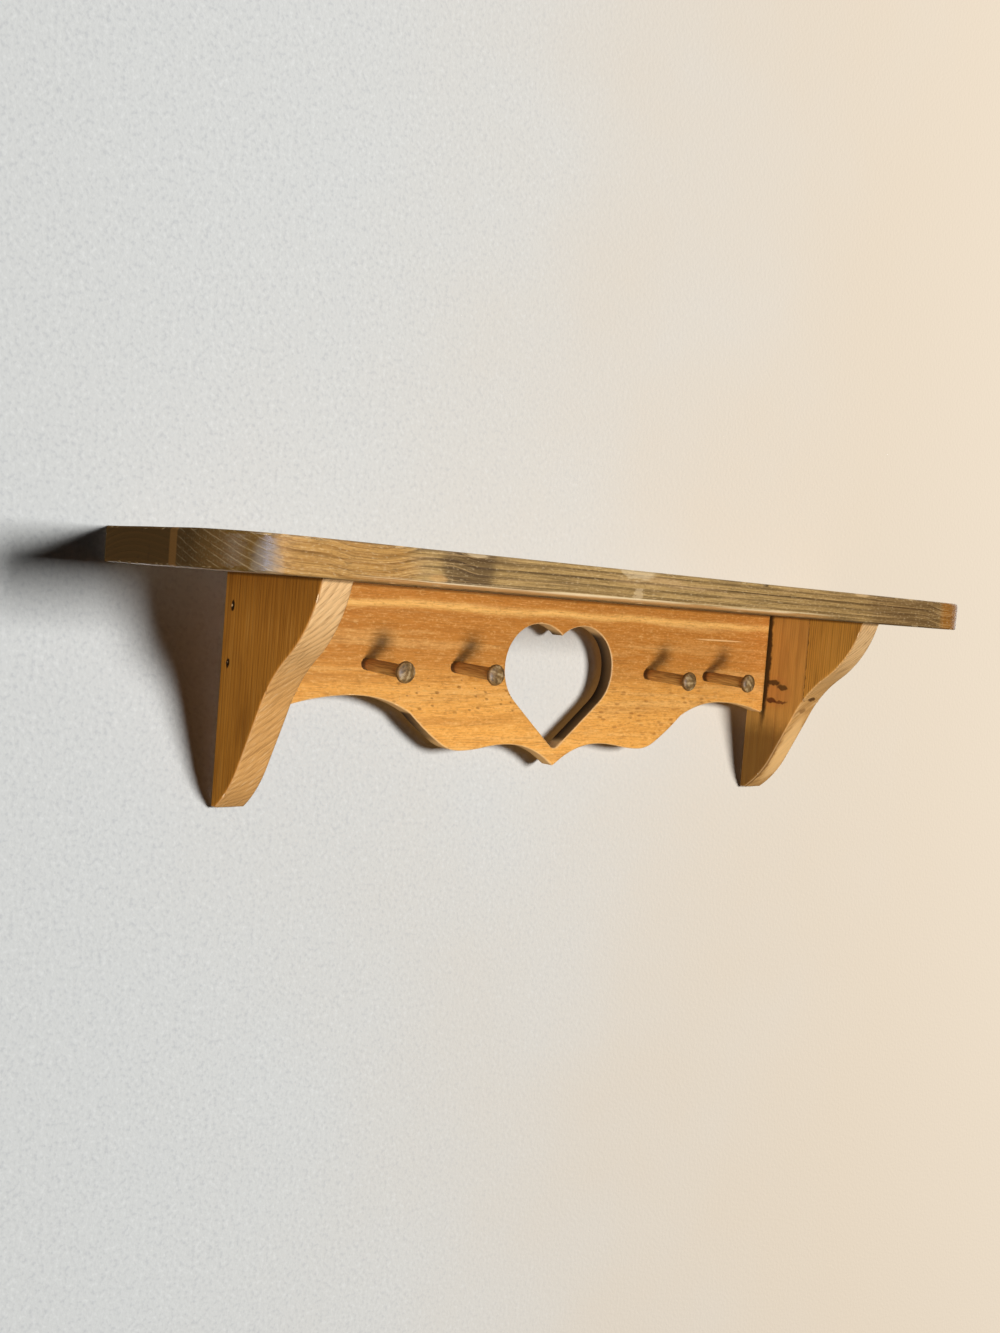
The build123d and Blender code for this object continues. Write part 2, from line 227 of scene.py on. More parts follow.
def section(node, across, depth):
    """The closed outlines of a CAD board where a plane at that depth cuts it, as lists of points."""
    mesh = bmesh.new()
    mesh.from_mesh(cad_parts[node].data)
    bmesh.ops.remove_doubles(mesh, verts=mesh.verts, dist=SAME_POINT)
    whole = mesh.verts[:] + mesh.edges[:] + mesh.faces[:]
    cut = bmesh.ops.bisect_plane(mesh, geom=whole, plane_co=across * depth, plane_no=across)
    # a list, because a set of edges would give them in another order each run
    edges = [e for e in cut["geom_cut"] if isinstance(e, bmesh.types.BMEdge)]
    outlines = []
    while edges:
        start, here = edges.pop().verts
        outline = [start.co.copy()]
        while here != start:
            outline.append(here.co.copy())
            edge = next(e for e in here.link_edges if e in edges)
            edges.remove(edge)
            here = edge.other_vert(here)
        outlines.append(outline)
    mesh.free()
    return outlines


def signed_area(points):
    """Above 0 when a flat outline runs anticlockwise."""
    x, y = points.T
    return float(x @ np.roll(y, -1) - y @ np.roll(x, -1)) / 2


def turns(points):
    """How sharply a closed outline turns at each of its points."""
    ahead = np.roll(points, -1, 0) - points
    behind = points - np.roll(points, 1, 0)
    cross = behind[:, 0] * ahead[:, 1] - behind[:, 1] * ahead[:, 0]
    return np.abs(np.arctan2(cross, (behind * ahead).sum(1)))


def walked(points, step):
    """The same outline with points an even step apart, and its sharp corners kept."""
    gaps = np.linalg.norm(points - np.roll(points, 1, 0), axis=1)
    points = points[gaps > 10 * SAME_POINT]
    corners = np.flatnonzero(turns(points) > CORNER)
    first = corners[0] if len(corners) else 0
    points = np.roll(points, -first, 0)
    stops = [*(corners - first), len(points)] if len(corners) else [0, len(points)]
    closed = np.vstack([points, points[:1]])
    made = []
    for start, end in zip(stops, stops[1:]):
        stretch = closed[start:end + 1]
        along = np.append(0, np.cumsum(np.linalg.norm(np.diff(stretch, axis=0), axis=1)))
        places = np.linspace(0, along[-1], max(2, round(along[-1] / step)) + 1)[:-1]
        made.append(np.column_stack([np.interp(places, along, stretch[:, i]) for i in (0, 1)]))
    return np.vstack(made)


def inward(points):
    """The mitred direction into the wood at each point of an outline that has the wood on its left."""
    ahead = np.roll(points, -1, 0) - points
    ahead /= np.linalg.norm(ahead, axis=1, keepdims=True)
    left = np.column_stack([-ahead[:, 1], ahead[:, 0]])
    before = np.roll(left, 1, 0)
    return (left + before) / (1 + (left * before).sum(1, keepdims=True))


def inside(places, loops):
    """Which places lie in the wood, by counting how often a line to the left crosses the outlines."""
    crossings = np.zeros(len(places), int)
    for loop in loops:
        for (x0, y0), (x1, y1) in zip(loop, np.roll(loop, -1, 0)):
            spans = (places[:, 1] < y0) != (places[:, 1] < y1)
            if spans.any():
                at = x0 + (places[spans, 1] - y0) * (x1 - x0) / (y1 - y0)
                crossings[spans] += at < places[spans, 0]
    return crossings % 2 == 1


print("shelf outline:", len(section("shelf_board", Vector((0, 0, 1)), 9.5 * MM)[0]), "points")

# %% Faces filled with an even grid
CLEAR = 0.7  # how far the grid stays from an outline, in steps


def grid_inside(loops, step):
    """Points on an even grid that lie in the wood, clear of its edges."""
    low, high = loops[0].min(0), loops[0].max(0)
    columns, rows = (np.arange(low[i] + step / 2, high[i], step) for i in (0, 1))
    grid = np.stack(np.meshgrid(columns, rows), -1).reshape(-1, 2)
    grid = grid[inside(grid, loops)]
    edge = np.vstack(loops)
    tree = KDTree(len(edge))
    for i, (x, y) in enumerate(edge):
        tree.insert((x, y, 0), i)
    tree.balance()
    return grid[[tree.find((x, y, 0))[2] > CLEAR * step for x, y in grid]]


def filled(loops, numbers, step, first_new):
    """Triangles that fill a face between its outlines, whose points have those numbers, and the new points."""
    edge = np.vstack(loops)
    borders, start = [], 0
    for loop in loops:
        borders += [(start + i, start + (i + 1) % len(loop)) for i in range(len(loop))]
        start += len(loop)
    flat = np.vstack([edge, grid_inside(loops, step)])
    # 1 asks for the triangles inside the outer outline, and 1e-8 is the distance at which points are one
    coords, _, triangles, origins, _, _ = delaunay_2d_cdt([Vector(p) for p in flat], borders, [], 1, 1e-8)
    number, added = {}, []
    for i, found in enumerate(origins):
        if found and found[0] < len(edge):
            number[i] = numbers[found[0]]
        else:
            number[i] = first_new + len(added)
            added.append(coords[i])
    coords = np.array(coords)
    kept = inside(coords[np.array(triangles)].mean(1), loops)
    return [[number[i] for i in t] for t, keep in zip(triangles, kept) if keep], np.array(added)


# %% A board's place and outlines
HOLE_LEAST = 12 * MM ** 2  # a smaller hole is a nail's shank, and the nail fills it


class Board:
    """Where a board is and what its outlines are. u and v run along its face, back is how far its back lies
    along the way out of the face, step is how far apart its points are, and cut_depth is where its outline is
    taken, in millimetres in front of the back."""

    def __init__(self, node, u, v, back, thickness, step, cut_depth):
        self.node, self.u, self.v = node, Vector(u), Vector(v)
        self.out = self.u.cross(self.v)
        self.back, self.thickness, self.step = back * MM, thickness * MM, step * MM
        found = section(node, self.out, self.back + cut_depth * MM)
        flat = [np.array([(p.dot(self.u), p.dot(self.v)) for p in outline]) for outline in found]
        flat = sorted((f for f in flat if abs(signed_area(f)) > HOLE_LEAST), key=lambda f: -abs(signed_area(f)))
        turned = [f if (signed_area(f) > 0) == (i == 0) else f[::-1] for i, f in enumerate(flat)]
        self.loops = [walked(f, self.step) for f in turned]

    def place(self, flat, height):
        """Points in the frame from places on the face and heights above the back."""
        u, v, out = (np.array(a) for a in (self.u, self.v, self.out))
        height = np.broadcast_to(height, len(flat))
        return np.outer(flat[:, 0], u) + np.outer(flat[:, 1], v) + np.outer(self.back + height, out)


# %% A board from its outlines
ARRIS_RINGS = 4  # steps round a quarter-round arris
SQUARE = 0.2 * MM  # an arris of less than this is glued or fits closely, so wear leaves it alone: it isn't free
PIT_POINTS = 16


def board_mesh(name, board, front_easing, back_easing, wall_step, back_step, pits=()):
    """Builds a board. An easing gives the arris's radius at each point of an outline, and a pit is the hole
    over a punched nail, as its place on the face, radius and depth. wall_step and back_step are the sizes of
    the faces round the sides and on the back."""
    points, soft, free, faces = [], [], [], []

    def ring(flat, height, softness, loose=1.0):
        points.append(board.place(flat, height))
        soft.append(np.full(len(flat), softness) * loose)
        free.append(np.full(len(flat), 1.0) * loose)

    def skin(start, count, rings):
        for low in range(start, start + count * rings, count):
            for i in range(count):
                j = (i + 1) % count
                faces.append((low + i, low + j, low + count + j, low + count + i))

    quarter = [math.pi / 2 * i / ARRIS_RINGS for i in range(ARRIS_RINGS + 1)]
    fronts, backs = [], []
    for loop in board.loops:
        into, start = inward(loop), sum(map(len, points))
        front, back = front_easing(loop), back_easing(loop)
        loose = (front > SQUARE).astype(float)
        for angle in quarter[::-1]:
            inset = loop + into * (back * (1 - math.cos(angle)))[:, None]
            ring(inset, back * (1 - math.sin(angle)), math.sin(2 * angle), loose)
        levels = max(2, round(board.thickness / wall_step / MM))
        for level in range(1, levels):
            ring(loop, back + (board.thickness - front - back) * level / levels, 0.0, loose)
        for angle in quarter:
            inset = loop + into * (front * (1 - math.cos(angle)))[:, None]
            ring(inset, board.thickness - front * (1 - math.sin(angle)), math.sin(2 * angle), loose)
        rings = 2 * len(quarter) + levels - 2
        skin(start, len(loop), rings)
        last = start + rings * len(loop)
        fronts.append((loop + into * front[:, None], list(range(last, last + len(loop)))))
        backs.append((loop + into * back[:, None], list(range(start, start + len(loop)))))
    for centre, radius, depth in pits:
        circle = [(math.cos(a), -math.sin(a)) for a in np.arange(PIT_POINTS) * math.pi / (PIT_POINTS / 2)]
        rim = np.array(circle) * radius * MM + np.array(centre) * MM
        start = sum(map(len, points))
        ring(rim, board.thickness - depth * MM, 0.0)
        ring(rim, board.thickness, 0.0)
        skin(start, PIT_POINTS, 1)
        faces.append(tuple(range(start + PIT_POINTS - 1, start - 1, -1)))
        fronts.append((rim, list(range(start + PIT_POINTS, start + 2 * PIT_POINTS))))
    sides = ((fronts, board.step, board.thickness, 1), (backs, back_step * MM, 0.0, -1))
    for side, step, height, turn in sides:
        loops, numbers = [s[0] for s in side], sum((s[1] for s in side), [])
        triangles, added = filled(loops, numbers, step, sum(map(len, points)))
        ring(added, height, 0.0)
        faces.extend(t[::turn] for t in triangles)
    mesh = bpy.data.meshes.new(name)
    mesh.from_pydata(np.vstack(points).tolist(), [], faces)
    for kept, values in (("arris", soft), ("free", free)):
        attribute = mesh.attributes.new(kept, "FLOAT", "POINT")
        attribute.data.foreach_set("value", np.concatenate(values).astype(np.float32))
    # where an inset outline folds over itself at a tight corner, a sliver is left open
    closed = bmesh.new()
    closed.from_mesh(mesh)
    bmesh.ops.holes_fill(closed, edges=[e for e in closed.edges if e.is_boundary], sides=8)
    bmesh.ops.recalc_face_normals(closed, faces=closed.faces)
    closed.to_mesh(mesh)
    closed.free()
    print(f"{name}: {len(mesh.vertices)} points, outlines of {[len(loop) for loop in board.loops]}")
    return placed(name, mesh)


# %% [markdown]
# ## Wear, as Geometry Nodes
#
# Wear follows a rule: hands and dusters take a little off every arris, knocks take chips out of it, and faces
# that were planed by hand are never quite flat. A Geometry Nodes tree says that rule once, for every board, with
# the depths as inputs. It only ever moves a point inwards, so the board stays inside its CAD size. The places of
# the chips are kept as an attribute, because the material shows bare wood there.

# %% Trees with named inputs
def new_tree(name, inputs, output):
    """A Geometry Nodes tree with that output, and named inputs that each have a kind of socket and a value."""
    tree = bpy.data.node_groups.new(name, "GeometryNodeTree")
    for label, (kind, value) in inputs.items():
        socket = tree.interface.new_socket(label, in_out="INPUT", socket_type="NodeSocket" + kind)
        if value is not None:
            socket.default_value = value
    tree.interface.new_socket(output, in_out="OUTPUT", socket_type="NodeSocketGeometry")
    return tree, add(tree, "NodeGroupInput").outputs


def plain(piece):
    """Gives a piece the mesh that its modifiers make of it, and removes the modifiers."""
    bpy.context.view_layer.update()
    mesh = bpy.data.meshes.new_from_object(piece.evaluated_get(bpy.context.evaluated_depsgraph_get()))
    piece.modifiers.clear()
    piece.data = mesh
    return mesh


def grown(piece, tree, **values):
    """Runs a Geometry Nodes tree on a piece with those inputs, and leaves the plain mesh that it makes."""
    maker = piece.modifiers.new("maker", "NODES")
    maker.node_group = tree
    for item in tree.interface.items_tree:
        label = item.name.replace(" ", "_").lower()
        if item.in_out == "INPUT" and label in values:
            maker[item.identifier] = values[label]
    plain(piece).name = piece.name


# %% The wear tree
RUBBED_SCALE = 0.03  # a hand rubs an arris over some 30 mm at a time
CHIP_RISE = 0.06  # how steeply a chip's side goes in, as a step of its noise
WAVE_SIZE = (110, 45, 45)  # a plane leaves waves that are longer along the board
CRISP, CRISP_GLUED = 37, 5  # an edge that bends more than this, in degrees, stays crisp


def worn_tree():
    """Rubs the arrises, knocks chips out of them and makes the faces a little wavy."""
    depth_inputs = {"Arris Wear": 0.3, "Chip Depth": 0.5, "Chip Share": 0.36, "Waviness": 0.2, "Seed": 1.0}
    tree, given = new_tree("worn_wood", {
        "Board": ("Geometry", None),
        **{label: ("Float", value) for label, value in depth_inputs.items()},
        "Chip Size": ("Vector", (9, 3, 3)),
        "Wood": ("Material", None),
    }, "Board")
    spot = add(tree, "GeometryNodeInputPosition")
    place = add(tree, "ShaderNodeVectorMath", {"Vector": spot, "Scale": 1 / MM}, operation="SCALE")
    arris = add(tree, "GeometryNodeInputNamedAttribute", {"Name": "arris"}, data_type="FLOAT")
    noise = {"Vector": place, "W": given["Seed"], "Scale": RUBBED_SCALE, "Detail": 2.0}
    rubbed = add(tree, "ShaderNodeTexNoise", noise, noise_dimensions="4D")
    arris_wear = both(tree, arris, rubbed, given["Arris Wear"])
    small = add(tree, "ShaderNodeVectorMath", {0: place, 1: given["Chip Size"]}, operation="DIVIDE")
    noise = {"Vector": small, "W": given["Seed"], "Scale": 1.0, "Detail": 1.5}
    knocks = add(tree, "ShaderNodeTexNoise", noise, noise_dimensions="4D")
    bar = add(tree, "ShaderNodeMath", {0: 1.0, 1: given["Chip Share"]}, operation="SUBTRACT")
    past = add(tree, "ShaderNodeMath", {0: knocks, 1: bar}, operation="SUBTRACT")
    hit = over(tree, past, 0.0, CHIP_RISE)
    chip = both(tree, hit, arris)
    chip_depth = both(tree, chip, given["Chip Depth"])
    wave = stretched_noise(tree, place, WAVE_SIZE, 3.0, 1.0)
    wave_depth = both(tree, wave, given["Waviness"])
    depth = add(tree, "ShaderNodeMath", {0: arris_wear, 1: chip_depth}, operation="ADD")
    depth = add(tree, "ShaderNodeMath", {0: depth, 1: wave_depth}, operation="ADD")
    free = add(tree, "GeometryNodeInputNamedAttribute", {"Name": "free"}, data_type="FLOAT")
    inwards = both(tree, depth, free, -MM)
    facing = add(tree, "GeometryNodeInputNormal")
    move = add(tree, "ShaderNodeVectorMath", {"Vector": facing, "Scale": inwards}, operation="SCALE")
    stored = {"Geometry": given["Board"], "Name": "chip", "Value": chip}
    stored = add(tree, "GeometryNodeStoreNamedAttribute", stored, data_type="FLOAT", domain="POINT")
    moved = add(tree, "GeometryNodeSetPosition", {"Geometry": stored, "Offset": move})
    smooth = add(tree, "GeometryNodeSetShadeSmooth", {"Geometry": moved})
    # corners stay crisp, and so does every edge of a glued face
    bend = add(tree, "GeometryNodeInputMeshEdgeAngle").outputs["Unsigned Angle"]
    glued = add(tree, "ShaderNodeMath", {0: free, 1: 0.5}, operation="LESS_THAN")
    limit = {0: glued, 1: math.radians(CRISP_GLUED - CRISP), 2: math.radians(CRISP)}
    limit = add(tree, "ShaderNodeMath", limit, operation="MULTIPLY_ADD")
    crisp = add(tree, "ShaderNodeMath", {0: bend, 1: limit}, operation="GREATER_THAN")
    smooth = {"Geometry": smooth, "Selection": crisp, "Shade Smooth": False}
    smooth = add(tree, "GeometryNodeSetShadeSmooth", smooth, domain="EDGE")
    real = add(tree, "GeometryNodeRealizeInstances", {"Geometry": smooth})
    dressed = add(tree, "GeometryNodeSetMaterial", {"Geometry": real, "Material": given["Wood"]})
    add(tree, "NodeGroupOutput", {0: dressed})
    return tree


wear = worn_tree()
print("wear tree:", len(wear.nodes), "nodes")

# %% [markdown]
# ## The weathered pine of the shelf
#
# The shelf is flat-sawn pine with a brown stain that years of dusting have worn thin: grey-brown on the front,
# nearly black in the thirsty end grain, and bare and sandy along the lower arris. The rings are one field round a
# pith below the board, so that the lines on the front, the top and the end meet at the arrises. Real fibres are a
# few hundredths of a millimetre wide and would not show, so every wood here has them drawn 0.7 or 0.8 mm wide.

# %% What every finish starts and ends with
def new_finish(name):
    """An empty material of that name, and its node tree."""
    material = bpy.data.materials.new(name)
    material.use_nodes = True
    material.node_tree.nodes.clear()
    return material, material.node_tree


def millimetres(tree):
    """A place on the piece, in millimetres."""
    spot = add(tree, "ShaderNodeTexCoord").outputs["Object"]
    return add(tree, "ShaderNodeVectorMath", {"Vector": spot, "Scale": 1 / MM}, operation="SCALE")


def faced(tree):
    """How squarely the surface faces along X, Y and Z, from 0 to 1."""
    normal = add(tree, "ShaderNodeTexCoord").outputs["Normal"]
    facing = add(tree, "ShaderNodeVectorMath", {0: normal}, operation="ABSOLUTE")
    return add(tree, "ShaderNodeSeparateXYZ", {0: facing}).outputs


def mark(tree, name):
    """An attribute of the mesh: arris on the arrises, and chip where the wear tree took a chip out."""
    return add(tree, "ShaderNodeAttribute", attribute_name=name).outputs["Fac"]


def varnish(tree, colour, roughness, relief, depth, specular):
    """A thin satin finish over wood, with its relief as a bump that many millimetres deep. A low specular
    level keeps old, dry varnish from looking wet."""
    bump = add(tree, "ShaderNodeBump", {"Height": relief, "Strength": 1.0, "Distance": depth * MM})
    inputs = {"Base Color": colour, "Roughness": roughness, "Normal": bump, "Specular IOR Level": specular}
    wood = add(tree, "ShaderNodeBsdfPrincipled", inputs)
    add(tree, "ShaderNodeOutputMaterial", {"Surface": wood})


# %% The shelf's rings and saw scratches
SCRATCH_GAP = 4.1  # millimetres from one saw scratch to the next


def shelf_rings(tree, place, x):
    """The shelf's growth rings. A knot beyond the front bends them down and then up again on the left, and
    near the right end the grain falls."""
    dip = both(tree, zone(tree, x, -246, -214, 22), 2.6)
    crest = both(tree, zone(tree, x, -203, -170, 20), -2.8)
    fall = both(tree, over(tree, x, 236, 262), 3.2)
    lift = add(tree, "ShaderNodeMath", {0: dip, 1: crest}, operation="ADD")
    lift = add(tree, "ShaderNodeMath", {0: lift, 1: fall}, operation="ADD")
    lift = add(tree, "ShaderNodeCombineXYZ", {"Z": lift})
    bent = add(tree, "ShaderNodeVectorMath", {0: place, 1: lift}, operation="ADD")
    return growth_rings(tree, bent, pith=(0, -40, -150), across=(0.015, 1, 1), spacing=3.4, wander=4.0, seed=4.0)


def saw_scratches(tree, x, y, z, stray):
    """Slanting scratches that the saw left round a corner, which hold wax and dust."""
    round_corner = add(tree, "ShaderNodeMath", {0: x, 1: y}, operation="SUBTRACT")
    slope = add(tree, "ShaderNodeMath", {0: round_corner, 1: 0.36, 2: z}, operation="MULTIPLY_ADD")
    scratch = add(tree, "ShaderNodeMath", {0: stray, 1: 3.0, 2: slope}, operation="MULTIPLY_ADD")
    scratch = add(tree, "ShaderNodeMath", {0: scratch, 1: SCRATCH_GAP}, operation="FLOORED_MODULO")
    return zone(tree, scratch, 1.0, 1.5, 0.45)


# %% Finish of the shelf
def weathered_pine():
    """Stained pine, greyed by dust and light: dull, streaked and patchy, with a waxed corner at the left."""
    finish, tree = new_finish("weathered_stained_pine")
    place, facing = millimetres(tree), faced(tree)
    x, y, z = add(tree, "ShaderNodeSeparateXYZ", {0: place}).outputs
    season, growth, hairs = shelf_rings(tree, place, x)
    late = late_wood(tree, season, growth, 0.4)
    fibre = stretched_noise(tree, place, (75, 0.8, 0.8), 2.0, 4.0)
    speckle = stretched_noise(tree, place, (2.6, 1.1, 1.1), 61.0, 3.0)
    cloud = stretched_noise(tree, place, (60, 26, 9), 5.0, 4.0)
    grime = stretched_noise(tree, place, (14, 6, 5), 31.0, 4.0)
    # stains have ragged edges, so their zones are measured from a place that strays
    stray = stretched_noise(tree, place, (16, 16, 14), 41.0, 4.0)
    ragged = add(tree, "ShaderNodeMath", {0: stray, 1: 14.0, 2: x}, operation="MULTIPLY_ADD")
    ragged_place = add(tree, "ShaderNodeCombineXYZ", {"X": ragged, "Y": y, "Z": z})
    crumbs = stretched_noise(tree, place, (4.0, 4.0, 2.2), 71.0, 4.0)
    crumbled = {"Value": crumbs, "From Min": 0.3, "From Max": 0.7, "To Min": -3.0, "To Max": 3.0}
    crumbled = add(tree, "ShaderNodeMapRange", crumbled)
    crumbled_x = add(tree, "ShaderNodeMath", {0: x, 1: crumbled}, operation="ADD")
    crumbled_z = add(tree, "ShaderNodeMath", {0: crumbled, 1: 0.6, 2: z}, operation="MULTIPLY_ADD")
    crumbled_place = add(tree, "ShaderNodeCombineXYZ", {"X": crumbled_x, "Y": y, "Z": crumbled_z})
    front = over(tree, y, -112, -127)
    end_grain = over(tree, facing["X"], 0.5, 0.8)
    left_end = both(tree, over(tree, x, -272, -286), over(tree, facing["X"], 0.12, 0.4))
    corner = both(tree, left_end, over(tree, y, -78, -84))
    ray = both(tree, left_end, zone(tree, y, -80.5, -73, 1.5))
    scratch = both(tree, saw_scratches(tree, x, y, z, stray), over(tree, grime, 0.36, 0.56))
    pale_line = zone(tree, z, 1.8, 3.2, 0.8)
    low_arris = both(tree, over(tree, z, 3.0, 1.9), over(tree, facing["Z"], 0.95, 0.7))
    top = over(tree, facing["Z"], 0.5, 0.9)
    wood = coats(
        tree, "#9d7e4a",
        (late, 1.0, "#38240f"),
        # broad patches: grime, sun, a warm left part, dark stains, and orange wood bared at the right end
        (over(tree, cloud, 0.5, 0.7), 0.7, "#6e5632"),
        (over(tree, cloud, 0.46, 0.28), 0.6, "#b89463"),
        (zone(tree, ragged, -278, -196, 16), 0.4, "#b97d2e"),
        (both(tree, front, zone(tree, ragged, -177, -145, 8)), 0.7, "#3d2b19"),
        (over(tree, x, 40, 170), 0.25, "#6b4c27"),
        (both(tree, front, zone(tree, ragged, 183, 264, 14)), 0.45, "#4a2f16"),
        (both(tree, front, over(tree, ragged, 262, 270)), 0.75, "#8f560f"),
        (over(tree, x, 278, 287), 0.7, "#4a2b0c"),
        # hair lines, fibres and specks, each dark and pale
        (over(tree, hairs, 0.5, 0.66), 0.5, "#4d3517"),
        (over(tree, hairs, 0.46, 0.32), 0.35, "#c29c64"),
        (over(tree, fibre, 0.54, 0.66), 0.35, "#4d3517"),
        (over(tree, fibre, 0.46, 0.32), 0.3, "#c29c64"),
        (over(tree, speckle, 0.52, 0.7), 0.3, "#4d3517"),
        (over(tree, speckle, 0.46, 0.3), 0.25, "#d6bb8c"),
        # two rubbed spots low on the front
        (near(tree, ragged_place, (-181, -132, 4.5), (7, 4, 2.2)), 0.4, "#c08f52"),
        (near(tree, crumbled_place, (-45, -132, 5.5), (3.6, 4, 3.8)), 0.32, "#dcc092"),
        # the top, and the ends, which drank more of the stain
        (top, 0.35, "#7a6142"),
        (end_grain, 0.85, "#573712"),
        (left_end, 0.9, "#513811"),
        (both(tree, end_grain, late), 0.3, "#6f4a1f"),
        # the round corner with its saw scratches, the pale ray beside it, and grime
        (both(tree, corner, over(tree, speckle, 0.5, 0.7)), 0.35, "#74684a"),
        (both(tree, corner, over(tree, crumbs, 0.58, 0.7)), 0.3, "#2e210f"),
        (both(tree, corner, scratch), 0.36, "#a58c64"),
        (ray, 0.7, "#8a5f2a"),
        (over(tree, grime, 0.62, 0.72), 0.45, "#3d2a14"),
        # the lower arris, worn to orange wood with a bare line above it
        (both(tree, low_arris, zone(tree, x, -228, 125, 50)), 0.8, "#a57540"),
        (both(tree, pale_line, over(tree, fibre, 0.6, 0.44), zone(tree, x, -228, 125, 40)), 0.5, "#ead4a8"),
        # a painted sheen on the waxed corner, rubbed spots on the upper arris, a dark knock, and bare wood in the
        # chips
        (near(tree, ragged_place, (-276, -128.5, 5), (8, 8, 12)), 0.08, "#ccd0c8"),
        (near(tree, ragged_place, (-155, -132, 18.4), (8, 4, 1.6)), 0.5, "#d2b68a"),
        (near(tree, crumbled_place, (-45, -132, 20.0), (15, 4, 6.8)), 0.46, "#d0b88e"),
        (near(tree, ragged_place, (173, -132, 18.6), (9, 4, 1.6)), 0.6, "#c4a273"),
        (near(tree, place, (66, -132, 18.4), (3, 4, 1.4)), 0.8, "#3a2812"),
        (mark(tree, "chip"), 0.75, "#d6b987"),
    )
    roughness = add(tree, "ShaderNodeMapRange", {"Value": grime, "To Min": 0.42, "To Max": 0.62})
    waxed = both(tree, left_end, over(tree, y, -112, -120), -0.26)
    roughness = add(tree, "ShaderNodeMath", {0: roughness, 1: waxed}, operation="ADD")
    dull_end = both(tree, end_grain, over(tree, y, -118, -96), 0.3)
    roughness = add(tree, "ShaderNodeMath", {0: roughness, 1: dull_end}, operation="ADD")
    relief = add(tree, "ShaderNodeMath", {0: hairs, 1: 0.8, 2: late}, operation="MULTIPLY_ADD")
    varnish(tree, wood, roughness, relief, 0.12, 0.26)
    return finish


shelf_finish = weathered_pine()
print(shelf_finish.name)

# %% [markdown]
# ## The honey pine of the rail
#
# The rail was stained once and waxed. Its upper part is painted darker than its lower half, as shade from the
# shelf, with a painted band of light across it near the top. Its grain is fine and level, with small pits from
# its knocks.

# %% The rail's dents
def rail_dents(tree, x, z):
    """The pits that knocks left on the left half, the torn fibres on the lower right part, where the plane ran
    against the grain, and the dimples between those."""
    pitted = both(tree, zone(tree, z, -76, -53, 5), zone(tree, x, -126, -20, 12))
    far, chance = dents(tree, x, z, (9.0, 5.2))
    reach = add(tree, "ShaderNodeMath", {0: chance, 1: 0.22, 2: far}, operation="MULTIPLY_ADD")
    pit = both(tree, over(tree, reach, 0.26, 0.12), pitted)
    rough_patch = both(tree, zone(tree, z, -92, -57, 10), zone(tree, x, 35, 216, 20))
    far, chance = dents(tree, x, z, (9.5, 3.4))
    tear = both(tree, over(tree, far, 0.34, 0.1), over(tree, chance, 0.2, 0.9), rough_patch)
    return pit, tear, both(tree, far, rough_patch)


